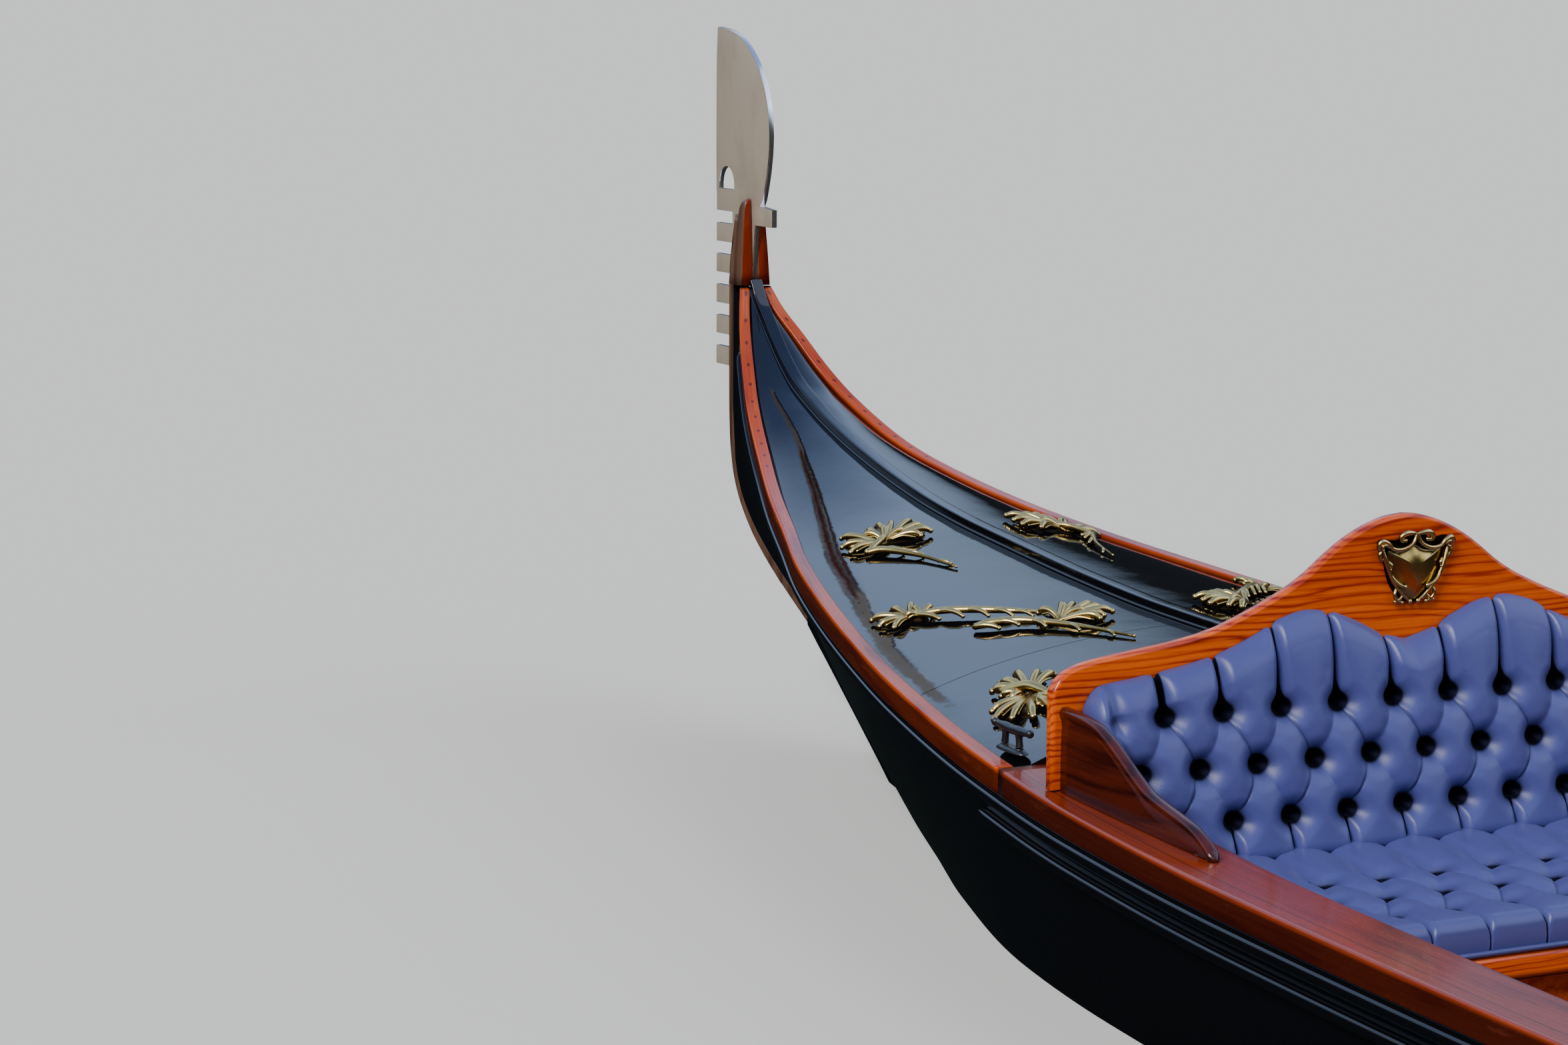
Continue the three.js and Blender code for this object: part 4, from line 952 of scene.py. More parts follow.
seatSpec = {"pitch": 107.0, "shift": -6.0, "rowMid": 336.0, "rowStep": 91.0, "rows": 180, "columns": 520,
            "low": 393.0, "deep": 540.0, "pit": 36.0, "pitWide": 48.0, "pleat": 36.0, "crown": 9.0,
            "valley": 3.2, "lip": 1.6, "groove": 2.2, "swell": 5.0}


# half the room between the rails at the back of a sofa's board, less the clearance of one of its pieces
def sofaHalf(sofa, piece):
    behind = sofa["face"] - sofa["s"] * sofaSpec["boardThick"]
    return float(sheerY(behind) - railWide(behind)) - sofaSpec["clear"][piece]


# tufted relief in mm below the pillows' tops, and how deep in a fold each point is (0 to 1), which the leather
# turns into painted shade. c counts columns, v counts rows and is 1, 0, -1 on the three button rows. Between them
# the folds are the lines c + v/2 and c - v/2 at whole numbers; beyond them pleats run straight out from the
# buttons.
#   pit: (1 - distance to the nearest button / width)^2.3, which falls off like stretched leather
#   pleat: (1 - distance to the pleat / width)^2.4, widest and deepest at the button
#   the two join as (pit^4 + pleat^4)^(1/4); valleys, lips and grooves are exp(-(gap / width)^2) of a fold
def tufted(c, v, spec, last):
    inside = np.clip(v, -1, 1)
    p, q = c + inside / 2, c - inside / 2
    far = np.maximum(0, np.abs(v) - 1) * spec["rowStep"]
    keep = 1 - smooth(last, last + 0.3, np.abs(c))
    beyond = smooth(0, 70, far)
    upper = v > 0
    pit, near = 0.0, 1e9
    for row in (-1, 0, 1):
        dc = (c - row / 2 - np.round(c - row / 2)) * spec["pitch"]
        dv = (v - row) * spec["rowStep"]
        away = np.hypot(dc * (1 + 0.25 * beyond), dv)
        away = away * (1 - 0.10 * (1 - beyond) * (dc * dc - dv * dv) / (away * away + 9))
        pit = np.maximum(pit, np.clip(1 - away / spec["pitWide"], 0, 1) ** 2.3 * keep)
        near = np.minimum(near, away)
    x = np.abs(c - 0.5 - np.round(c - 0.5)) * spec["pitch"]
    wide = np.where(upper, 15 + 25 * np.exp(-far / 45.0), 13 + 22 * np.exp(-far / 26.0))
    depth = np.where(upper, 0.55 + 0.40 * np.exp(-far / 36.0), 0.5 + 0.35 * np.exp(-far / 22.0))
    pleat = np.clip(1 - x / wide, 0, 1) ** 2.4 * depth * smooth(0, 16, far) * keep
    slope = math.hypot(1 / spec["pitch"], 0.5 / spec["rowStep"])
    dp, dq = p - np.round(p), q - np.round(q)
    gap = np.where(upper, -dq, dp) / slope
    other = np.where(upper, dp, dq) / slope
    middle = (1 - smooth(0, 10, far)) * smooth(10, 34, near) * keep * (1 - smooth(0.86, 1.0, np.abs(v)))
    valley = np.exp(-(gap / 11.0) ** 2) + 0.8 * np.exp(-(other / 11.0) ** 2)
    lip = np.exp(-((gap - 5) / 6.0) ** 2)
    groove = np.exp(-(gap / 2.1) ** 2)
    crown = np.abs(np.sin(math.pi * p) * np.sin(math.pi * q)) ** 0.75
    crown = crown + (1 - crown) * np.maximum(smooth(0, 90, far), 1 - keep)
    fold = ((spec["pit"] * pit) ** 4 + (spec["pleat"] * pleat) ** 4) ** 0.25
    relief = (spec["crown"] * (crown - 1) - fold
              + (spec["lip"] * lip - spec["valley"] * valley - spec["groove"] * groove) * middle)
    pleatShade = np.exp(-(x / (2.2 + np.where(upper, 17.0, 4.5) * np.exp(-far / np.where(upper, 17.0, 9.0)))) ** 2)
    # painted shade: deep darkens the pits, a black wedge along each pleat's core and the grooves
    deep = (0.30 * smooth(0.04, 0.30, pit) + 0.8 * smooth(0.24, 0.48, pit)
            + smooth(0.25, 0.7, pleatShade * smooth(0, 8, far) * keep) + groove * middle * 0.45)
    return relief, np.clip(deep, 0, 1)


# every: steps of the fine skin to one of the coarse copy; levels: steps of the held weight
clothSpec = {"every": 5, "frames": 20, "pressure": 4.0, "mass": 0.02, "stiff": 12.0, "bend": 0.4, "quality": 4,
             "levels": 8}


# weights that carry values at every few steps over to each step with cubic B-splines:
# 2/3 - t^2 + |t|^3 / 2 within one space, (2 - |t|)^3 / 6 within two
def splineShares(count, picked, step, closed):
    t = np.abs(np.arange(count)[:, None] - picked[None, :])
    t = (np.minimum(t, count - t) if closed else t) / step
    share = np.where(t < 1, 2 / 3 - t * t + t ** 3 / 2, np.clip(2 - t, 0, 2) ** 3 / 6)
    return share / share.sum(1, keepdims=True)


# padding: a coarse copy of the pad's closed skin swells by cloth simulation, held where it is sewn down or
# rests on something; its moves, none longer than most millimetres, go over to the fine skin
def swelled(name, ring, held, most):
    spec = clothSpec
    n, m = ring.shape[:2]
    rows, turns = np.arange(0, n, spec["every"]), np.arange(0, m, spec["every"])
    coarse = ring[np.ix_(rows, turns)]
    skin = sweepMesh(name, coarse)
    outward(skin)
    pad = bpy.data.objects.new(name, skin)
    scene = bpy.context.scene
    scene.collection.objects.link(pad)
    group = pad.vertex_groups.new(name="held")
    level = np.round(held[np.ix_(rows, turns)].ravel() * spec["levels"])
    for k in range(1, spec["levels"] + 1):
        group.add(np.flatnonzero(level == k).tolist(), k / spec["levels"], "REPLACE")
    cloth = pad.modifiers.new("cloth", "CLOTH")
    rules = cloth.settings
    rules.quality = spec["quality"]
    rules.mass = spec["mass"]
    rules.tension_stiffness = rules.compression_stiffness = rules.shear_stiffness = spec["stiff"]
    rules.bending_stiffness = spec["bend"]
    rules.use_pressure = True
    rules.uniform_pressure_force = spec["pressure"]
    rules.vertex_group_mass = "held"
    rules.effector_weights.gravity = 0
    cloth.collision_settings.use_collision = False
    cloth.point_cache.frame_end = spec["frames"]
    for frame in range(1, spec["frames"] + 1):
        scene.frame_set(frame)
    swollen = pad.evaluated_get(bpy.context.evaluated_depsgraph_get()).to_mesh()
    flat = np.empty(len(skin.vertices) * 3)
    swollen.vertices.foreach_get("co", flat)
    move = flat.reshape(coarse.shape) - coarse
    bpy.data.objects.remove(pad)
    bpy.data.meshes.remove(skin)
    scene.frame_set(1)
    far = np.linalg.norm(move, axis=-1, keepdims=True)
    move = move * np.minimum(1, most / 1000 / np.maximum(far, 1e-9))
    print(name, "swelled by up to", round(float(far.max()) * 1000, 2), "mm before the cap")
    along, about = splineShares(n, rows, spec["every"], False), splineShares(m, turns, spec["every"], True)
    return ring + np.einsum("ai,bj,ijk->abk", along, about, move) * (1 - held[..., None])


# even columns u moved towards the pleats: y - k * pitch / 2 pi * sin(2 pi (c - 1/2)), less at the ends
def gathered(u, wide, spec, start):
    even = u * wide
    turn = 2 * math.pi * ((even - spec["shift"]) / spec["pitch"] + start - 0.5)
    return even - 0.42 * spec["pitch"] / (2 * math.pi) * np.sin(turn) * (1 - smooth(0.86, 0.98, np.abs(u)))


# back cushion: up the front face, over the top edge and down behind, closed at both ends
def backCushion(sofa):
    face, s = sofa["face"], sofa["s"]
    inside = sofaHalf(sofa, "back")
    lean = math.tan(math.radians(sofaSpec["lean"]))
    top = fair(*np.array(sofaSpec["cushionTop"], float).T)
    u = np.linspace(-1, 1, backSpec["columns"])[None, :]
    rise = np.linspace(0, 1, backSpec["rows"])[:, None]
    foot, roll, widest = backSpec["foot"], backSpec["roll"], backSpec["widest"]
    wide = inside + (widest - inside) * smooth(584, 624, foot + (800 - foot) * rise)
    y = gathered(u, wide, backSpec, 0.0)
    c = (y - backSpec["shift"]) / backSpec["pitch"]
    near = np.abs((c - 0.5 - np.round(c - 0.5)) * backSpec["pitch"])
    notch = np.exp(-(near / 5.0) ** 1.2) * (1 - smooth(4.9, 5.2, np.abs(c)))
    crest = top(np.abs(y)) - 2 - 9 * notch
    z = foot + (crest - roll - foot) * rise
    v = (z - backSpec["rowMid"]) / backSpec["rowStep"]
    relief, deep = tufted(c, v, backSpec, 5.25)
    base = 47 + (752 - z) * lean
    out = base + relief + 4 * np.sin(math.pi * rise)
    tuck = np.clip((z - foot) / 20, 0, 1)
    out = out - 13 * (1 - np.sqrt(tuck * (2 - tuck)))
    endRoll = (1 - np.clip(1 - (wide - np.abs(y)) / 40, 0, 1) ** 2.5) ** (1 / 2.5)
    out = 5 + (np.maximum(out, 8) - 5) * endRoll
    turn = np.linspace(0, 1, 23)[1:, None] * math.pi / 2
    over = 4 + (out[-1:] - 4) * np.cos(turn) ** 0.85 - lean * roll * np.sin(turn) * np.cos(turn) * endRoll[-1:]
    zOver = z[-1:] + roll * np.sin(turn) * (0.25 + 0.75 * endRoll[-1:])
    down = np.linspace(1, 0, 6)[1:, None]
    zDown = foot + (zOver[-1:] - foot) * down
    yDown = np.broadcast_to(y[-1:], zDown.shape) * np.where(zDown < 600, inside / widest, 1)
    places = [(out, y, z), (over, np.broadcast_to(y[-1:], over.shape), zOver), (0 * zDown + 4, yDown, zDown)]
    outAll, yAll, zAll = (np.vstack([p[k] for p in places]) for k in range(3))
    # painted shade: the part down behind the cushion is half dark
    deepAll = np.vstack([deep, np.broadcast_to(deep[-1:], over.shape), 0 * zDown + 0.5])
    ring = toFrame(face + s * outAll, yAll, zAll).transpose(1, 0, 2)
    held = np.clip(deepAll.T * 1.6, 0, 1)
    held[:, len(out) + len(over):] = 1
    held[:, :3] = 1
    held = np.maximum(held, smooth(560, 600, np.abs(yAll.T)))
    ring = swelled(sofa["node"] + "BackPad", ring, held, backSpec["swell"])
    mesh = sweepMesh(sofa["node"] + "BackCushion", ring, deep=deepAll.T)
    piece = finish(mesh, sofa["node"] + "BackCushion", blueLeather, slot="leather",
                   replaces=[sofa["node"] + "_back_cushion"])


# seat cushion: along the top from the back, over the front edge, down the border and back below
def seatCushion(sofa):
    face, s = sofa["face"], sofa["s"]
    wide = sofaHalf(sofa, "seat")
    u = np.linspace(-1, 1, seatSpec["columns"])[None, :]
    y = gathered(u, wide, seatSpec, 0.5)
    run = np.linspace(6, seatSpec["deep"] - 24, seatSpec["rows"])[:, None] + 0 * y
    c = (y - seatSpec["shift"]) / seatSpec["pitch"] + 0.5
    v = (seatSpec["rowMid"] - run) / seatSpec["rowStep"]
    relief, deep = tufted(c, v, seatSpec, 5.0)
    z = 463 - 12 * smooth(150, 500, run) + relief
    endRoll = (1 - np.clip(1 - (wide - np.abs(y)) / 24, 0, 1) ** 2.3) ** (1 / 2.3)
    turn = np.linspace(0, 1, 13)[1:, None] * math.pi / 2
    runOver = run[-1:] + 22 * np.sin(turn) - 6 * deep[-1:] * turn
    zOver = z[-1:] - 20 * (1 - np.cos(turn))
    down = np.linspace(0, 1, 9)[1:, None]
    low = seatSpec["low"]
    zDown = zOver[-1:] + (low - zOver[-1:]) * down
    runDown = runOver[-1:] + 2.0 * np.sin(math.pi * down) - 2.5 * down
    back = np.linspace(1, 0, 5)[1:, None]
    runBack = 6 + (runDown[-1:] - 6) * back
    runs = np.vstack([run, runOver, runDown, runBack])
    zs = np.vstack([z, zOver, zDown, np.broadcast_to(zDown[-1:], runBack.shape)])
    mid = (low + 440) / 2
    zs = mid + (zs - mid) * (0.25 + 0.75 * endRoll)
    front = deep[-1:]
    # painted shade: the part back under the seat is 0.6 dark
    deepAll = np.vstack([deep, front + 0 * runOver, front + 0 * zDown, 0 * runBack + 0.6])
    ring = toFrame(face + s * runs, np.broadcast_to(y, runs.shape), zs).transpose(1, 0, 2)
    held = np.clip(deepAll.T * 1.6, 0, 1)
    held[:, len(run) + len(runOver) + len(zDown) - 2:] = 1
    held[:, :2] = 1
    held = np.maximum(held, smooth(wide - 50, wide - 20, np.abs(y)).T)
    ring = swelled(sofa["node"] + "SeatPad", ring, held, seatSpec["swell"])
    mesh = sweepMesh(sofa["node"] + "Cushion", ring, deep=deepAll.T)
    piece = finish(mesh, sofa["node"] + "Cushion", blueLeather, slot="leather",
                   replaces=[sofa["node"] + "_cushion"])


# both sides of an outline whose rows (y, z) start at the middle line
def mirrored(rows):
    rows = np.array(rows, float)
    return np.vstack([rows[::-1] * [-1, 1], rows[rows[:, 0] > 0]])


# frame x of a place that lies run millimetres out from a sofa's back board
def sofaX(sofa, run):
    return halfLength - (sofa["face"] + sofa["s"] * np.asarray(run, float))


# piping: a round cord along the seat's front edge, straight across the boat
def piping(name, sofa):
    wide = sofaHalf(sofa, "piping")
    y = np.linspace(-wide, wide, 60)[:, None]
    turn = np.linspace(0, 2 * math.pi, 10, endpoint=False)
    x = sofaX(sofa, 541) + sofaSpec["pipe"] * np.cos(turn)
    ring = np.stack([x + 0 * y, y + 0 * x, sofaSpec["boxTop"] + sofaSpec["pipe"] * np.sin(turn) + 0 * y], -1)
    finish(sweepMesh(name, ring / 1000, deep=np.zeros(ring.shape[:2])), name, pipeLeather, slot="leather")


# back board cut to its crest and let down between the rails, trim under the seat's edge, armrests
def sofaWood(sofa):
    s, node = sofa["s"], sofa["node"]
    thick = sofaSpec["boardThick"]
    low = max(float(sheerZ(sofa["face"])), float(sheerZ(sofa["face"] - s * thick))) + 0.6
    inside = sofaHalf(sofa, "board")
    fine = np.concatenate([np.linspace(0, 640, 90), np.linspace(645, 668, 10)])
    crest = fair(*np.array(sofaSpec["crest"], float).T)(fine)
    outline = np.vstack([mirrored(np.stack([fine, crest], -1)), [(668, low), (inside, low), (inside, 300),
                                                                (-inside, 300), (-inside, low), (-668, low)]])
    board = cutPlate(node + "BackBoard", [outline], thick, "yz", float(sofaX(sofa, -thick / 2)), 7.5, 5)
    flatFaces(finish(grainFrom(board, "yxz"), node + "BackBoard", backWood, slot="varnished_wood",
                     replaces=[node + "_back_board"], merge=1e-5))
    x = sorted([float(sofaX(sofa, 500.5)), float(sofaX(sofa, 543.5))])
    trim = roundBox(node + "Trim", (x[0], -inside + 2, 348), (x[1], inside - 2, 391.4), 13)
    flatFaces(finish(grainFrom(trim, "yxz"), node + "Trim", backWood, slot="varnished_wood",
                     replaces=[node + "_trim"]))
    for side, t in sides:
        armrest(sofa, side, t)


# armrest section: the share of the half thickness, and the height below the top in mm, or None at the foot
armSection = [(-0.66, None), (-0.66, -60), (-0.58, -34), (-0.60, -25), (-0.74, -19.5), (-0.93, -15), (-1.0, -10.5),
              (-0.94, -5.5), (-0.72, -1.8), (-0.36, 0), (0.36, 0), (0.72, -1.8), (0.94, -5.5), (1.0, -10.5),
              (0.93, -15), (0.74, -19.5), (0.60, -25), (0.58, -34), (0.66, -60), (0.66, None)]


# armrest: a board under an S-curved top line, its faces hollow, with a round bead along the top
def armrest(sofa, side, t):
    s, node = sofa["s"], sofa["node"]
    arm = np.array(sofaSpec["arm"], float)
    middle = float(np.min(sheerY(sofa["face"] + s * arm[:, 0]))) - 48
    run = np.unique(np.concatenate([np.linspace(2, 449, 80), np.linspace(430, 449, 12)]))
    top = fair(arm[:, 0], arm[:, 1])(run)
    floor = sheerZ(sofa["face"] + s * run) + 1.6
    top = np.maximum(top, floor + 4)
    across = np.array([row[0] for row in armSection]) * 11
    drop = np.array([-1e3 if row[1] is None else row[1] for row in armSection])
    z = np.maximum(top[:, None] + drop, floor[:, None])
    shrink = np.clip((449 - run) / 9, 0.05, 1) ** 0.5
    y = middle + across[None, :] * shrink[:, None]
    d = sofa["face"] + s * run[:, None] + 0 * y
    grain = np.stack([d / 1000, y / 1000, z / 1000], -1)
    mesh = sweepMesh(node + "Armrest", toFrame(d, t * y, z), grain=grain)
    finish(mesh, node + "Armrest_" + side, redWood, slot="varnished_wood",
           replaces=[node + "_armrest_" + side], angle=50, merge=1e-6)


# gives a CAD node that is shown as it is its material
def plain(node, material):
    nodes[node].data.materials.clear()
    nodes[node].data.materials.append(material)


for name in ("front", "rear"):
    sofa = sofaSpec[name]
    backCushion(sofa)
    seatCushion(sofa)
    sofaWood(sofa)
    piping(name + "SeatPiping", sofa)
    plain(sofa["node"] + "_box", innerWood)
print("sofas made")


# One round bar of brass work: a tube through the points (u, v, height) in mm with a radius at each, and
# a ball of the given radius on its end. Gives points, faces and how deep each point lies.
def bar(points, radii, ball=0.0, share=5, facets=8):
    line = flow(points, share)
    r = fair(np.linspace(0, 1, len(radii)), radii)(np.linspace(0, 1, len(line)))
    run = np.gradient(line, axis=0)
    run /= np.linalg.norm(run, axis=1, keepdims=True) + 1e-9
    side = np.stack([-run[:, 1], run[:, 0], 0 * run[:, 0]], 1)
    side /= np.linalg.norm(side, axis=1, keepdims=True) + 1e-9
    up = np.cross(run, side)
    turn = np.linspace(0, 2 * math.pi, facets, endpoint=False)[None, :, None]
    ring = line[:, None] + r[:, None, None] * (np.cos(turn) * side[:, None] + np.sin(turn) * up[:, None])
    # painted shade and highlight: each ring is pale on top and dark underneath, and low bars darker, together with
    # the patina of the hollows
    height = ring[..., 2] - line[:, None, 2] + 0.35 * (line[:, None, 2] - 6)
    deep = np.clip(0.5 - height.ravel() / (2.2 * max(radii)), 0, 1)
    made = [(ring.reshape(-1, 3), ringFaces(len(line), facets), deep)]
    if ball:
        a, b = np.linspace(0.02, math.pi - 0.02, 8)[:, None], turn[..., 0]
        globe = np.stack([np.sin(a) * np.cos(b), np.sin(a) * np.sin(b), np.cos(a) + 0 * b], -1)
        points = (globe * ball + line[-1]).reshape(-1, 3)
        # painted shade and highlight: the ball is pale on top and dark underneath
        made.append((points, ringFaces(len(a), facets), np.clip(0.35 - globe[..., 2].ravel() * 0.6, 0, 1)))
    return made


# a low mound under the bars: rings of an outline (u, v) shrunk towards its middle, height * (1 - t^2)
def mound(outline, high, foot=0.0, deep=(0.9, 0.55), power=2.0, centre=None):
    outline = np.asarray(outline, float)
    middle = outline.mean(0) if centre is None else np.asarray(centre, float)
    t = np.concatenate([[1.0], np.linspace(1, 0.04, 12)])[:, None, None]
    flat = middle + (outline - middle) * t
    lift = foot + high * (1 - t[..., 0] ** power) + 0 * flat[..., 0]
    lift[0] = -1.0
    points = np.concatenate([flat, lift[..., None]], -1)
    # deep runs from deep[0] at the rim to deep[1] in the middle: patina in the hollows together with painted shade
    # in the gaps between the bars
    dark = deep[0] + (deep[1] - deep[0]) * (1 - t[..., 0] ** 3) + 0 * flat[..., 0]
    return [(points.reshape(-1, 3), ringFaces(*points.shape[:2]), dark.ravel())]


# a mound's round outline of the given radius about a middle
def disc(u, v, radius):
    turn = np.linspace(0, 2 * math.pi, 24, endpoint=False)
    return np.stack([u + radius * np.cos(turn), v + radius * np.sin(turn)], 1)


# puts bars and mounds together into one piece; place turns (u, v, height) into frame coordinates
def castWork(name, parts, place, material, slot, **kept):
    points, faces, deep = joined(parts)
    finish(rawMesh(name, place(*points.T), faces, deep=deep), name, material, slot=slot, **kept)


# a fan of fingers from one root: finger a stands at angle a from the root-tip line, bends further out by
# curl * length * t^2, rises towards its end and ends in a bead; a thin rib lies on each side of it
def fan(root, tip, count=5, spread=50.0, thick=5.2, high=15.0, curl=0.22):
    root, tip = np.array(root, float), np.array(tip, float)
    long = float(np.hypot(*(tip - root)))
    heading = math.atan2(*(tip - root)[::-1])
    parts, rim = [], []
    for k in range(count):
        a = 2 * k / (count - 1) - 1
        turn = heading + math.radians(spread) * a
        run = np.array([math.cos(turn), math.sin(turn)])
        over = np.array([-run[1], run[0]])
        reach = long * (1 - 0.30 * abs(a) ** 1.5) * (0.90 if k % 2 else 1.0)

        def spot(t, w, aside=0.0):
            return [*(root + run * reach * t + over * (curl * reach * t * t * a + aside)), w]

        finger = [spot(t, w * high) for t, w in ((0.3, 0.62), (0.6, 0.95), (0.84, 1), (1.0, 0.62))]
        parts += bar([spot(0, 4)] + finger, [thick * r for r in (0.6, 0.95, 1.2, 1.25, 0.9)],
                     ball=thick * 1.1, share=4)
        for aside in (-0.8 * thick, 0.8 * thick):
            places = ((0.12, 0.3, 0.5), (0.5, 0.74, 1), (0.86, 0.52, 1.1))
            rib = [spot(t, w * high, aside * a) for t, w, a in places]
            parts += bar(rib, [thick * 0.4, thick * 0.5, thick * 0.36], share=4)
        rim.append(spot(0.80, 0)[:2])
    rim += [tuple(root - 6 * np.array([math.cos(heading), math.sin(heading)]))]
    return parts + mound(flow(np.array(rim + rim[:1]), 3)[:-1], high * 0.6, deep=(0.9, 0.5), power=4.0)


# a branch: one thick tapering bar with short curled fingers down one side
def branch(points, radii, ball=0.0, fingers=0, side=1, reach=20.0):
    parts = bar(points, radii, ball=ball)
    line = flow(np.array(points, float), 24)
    run = np.gradient(line[:, :2], axis=0)
    run /= np.linalg.norm(run, axis=1, keepdims=True) + 1e-9
    for k in range(fingers):
        share = 0.08 + 0.80 * k / max(fingers - 1, 1)
        i = int(share * (len(line) - 1))
        over = np.array([-run[i, 1], run[i, 0]]) * side
        long = reach * (1 - 0.45 * share)
        r = 5.2 * (1 - 0.35 * share)
        at, w = line[i, :2], line[i, 2]
        spots = [(*(at + over * long * b + run[i] * long * f), w * h)
                 for b, f, h in ((0.0, -0.5, 0.8), (0.24, 0.2, 1.15), (0.48, 0.9, 1.0), (0.72, 1.4, 0.6))]
        parts += bar(spots, [r * 0.8, r * 1.1, r, r * 0.7], ball=r * 0.9, share=4)
    return parts


deckOrnaments = {
    "front": fan((1250, 208), (1156, 258), 5, 48) + fan((1232, 200), (1190, 98), 6, 40, 5.2, 17)
    + fan((1240, 205), (1180, 178), 3, 26, 5.0, 19, 0.5)
    + branch([(1226, 196, 12), (1246, 214, 15), (1262, 236, 13), (1280, 264, 10)], [6.0, 7.5, 7.0, 5.0], 7.0)
    + branch([(1280, 266, 9), (1296, 244, 12), (1332, 222, 11), (1392, 196, 8), (1484, 176, 5)],
             [6.0, 8.0, 6.5, 4.0, 2.2], 3.0, 4, -1, 24),
    "long": fan((1696, 384), (1640, 440), 5, 58) + fan((1712, 372), (1672, 372), 3, 40, 4.8, 17, 0.4)
    + branch([(1690, 392, 10), (1740, 338, 15), (1800, 280, 14), (1842, 236, 11), (1868, 206, 9)],
             [5.0, 7.0, 6.8, 5.2, 3.6], 5.0, 6, 1, 34)
    + branch([(1857, 343, 9), (1872, 316, 13), (1900, 270, 13), (1960, 226, 10), (2030, 192, 8), (2117, 161, 5)],
             [6.4, 8.0, 8.0, 6.4, 4.2, 2.4], 3.2, 5, 1, 26)
    + fan((1928, 212), (1918, 98), 7, 36, 5.4, 18) + fan((1930, 206), (1880, 164), 3, 32, 5.0, 21, 0.5),
    "aft": fan((2272, 462), (2172, 434), 5, 34, 6.0, 17) + fan((2270, 468), (2240, 506), 3, 36, 5.6, 15)
    + fan((2280, 470), (2378, 540), 6, 34, 5.6, 16) + fan((2284, 458), (2380, 430), 4, 30, 5.4, 15)
    + branch([(2226, 497, 12), (2248, 478, 17), (2272, 464, 20), (2320, 452, 12)], [6.5, 9.0, 9.0, 5.0], 8.0),
}


for name, parts in deckOrnaments.items():
    for side, s in sides:
        castWork("ornament_" + name + "_" + side, parts,
                 lambda d, y, w, s=s: toFrame(d, s * y, deckTop(d, y) + w - 0.5), oldBrass, "brass")

shieldSpec = {
    "y": -14.0, "z": 897.0, "face": 2700.6,
    "field": [(0, 37), (18, 29), (38, 27), (53, 29), (51, 10), (45, -10), (34, -28), (18, -44), (0, -54)],
    "plate": [(0, 52), (20, 56), (34, 46), (62, 50), (72, 42), (60, 24), (56, 0), (48, -24), (34, -44),
              (14, -57), (0, -59)],
    # bars of one side of the frame: points (u, v, height), radii, and the ball on the end
    "bars": [
        ([(64, 30, 7), (60, 16, 9), (55, 2, 10), (48, -14, 10), (37, -30, 9), (22, -46, 8), (8, -57, 7)],
         [3.4, 4.0, 3.8, 3.6, 3.4, 3.2, 2.6], 4.6),
        ([(53, -2, 8), (44, -18, 12), (33, -27, 14), (22, -31, 13)], [2.4, 3.0, 2.8, 2.2], 3.8),
        ([(36, -34, 7), (40, -44, 9), (34, -54, 8), (24, -58, 7)], [2.6, 3.2, 2.8, 2.2], 3.6),
        ([(24, -46, 8), (30, -52, 9), (38, -56, 7)], [2.2, 2.6, 2.0], 3.2),
        ([(1.5, 56, 12), (6, 44, 13), (16, 36, 13), (32, 31.5, 12), (48, 34, 12), (58, 43, 12), (68, 47, 11),
          (74, 41, 10), (72, 33, 8), (65, 33, 8)], [3.0, 3.4, 3.5, 3.6, 3.8, 4.4, 4.8, 4.4, 3.6, 3.0], 3.6),
        ([(56, 36, 13), (64, 41, 14), (69, 38, 13), (67, 32, 11)], [2.0, 2.6, 2.4, 2.0], 2.8),
        ([(66, 34, 7), (71, 24, 8), (66, 16, 7), (60, 19, 8)], [3.2, 3.8, 3.2, 2.4], 3.4),
        ([(1.5, 56, 11), (10, 58, 13), (22, 58.5, 13), (31, 53, 12), (30, 46, 11), (22, 46, 10)],
         [3.0, 4.0, 5.0, 4.6, 3.8, 3.0], 3.8),
        ([(53, 12, 8), (49, 6, 11), (51, -1, 10)], [2.2, 2.8, 2.0], 3.2),
    ],
}


# shield: a blank domed field on a thin plate, with the frame's bars on both sides
def shield():
    def full(key):
        rows = np.array(shieldSpec[key], float)
        return flow(np.vstack([rows, (rows * [-1, 1])[::-1][1:-1]]), 6, closed=True)

    spec = shieldSpec
    # the thin plate is painted fully dark: painted shade in the gaps of the frame
    parts = mound(full("plate"), 1.6, 2.0, (1.0, 1.0)) + mound(full("field"), 8.5, 5.0, (0.30, 0.16), 2.6, (0, 2))
    for t in (1, -1):
        for points, radii, ball in spec["bars"]:
            parts += bar(np.array(points, float) * [t, 1, 1], radii, ball=ball)
    castWork("shield", parts, lambda u, v, w: toFrame(spec["face"] + w, spec["y"] + u, spec["z"] + v), oldBrass,
             "brass", replaces=["back_board_shield"], angle=60)


shield()
print("brass made")


for node in ("fore_bulkhead", "aft_bulkhead", "cockpit_lining_port", "cockpit_lining_starboard", "floor_bearers"):
    plain(node, innerWood)
for node in ("oarlock_block", "oarlock"):
    plain(node, walnut)
plain("oar", oarWood)

cleatSpec = {"d": 2478.0, "y": 614.0, "foot": 599.0, "long": 44, "wide": 14, "post": 24,
             "horn": (20, 40, 57)}


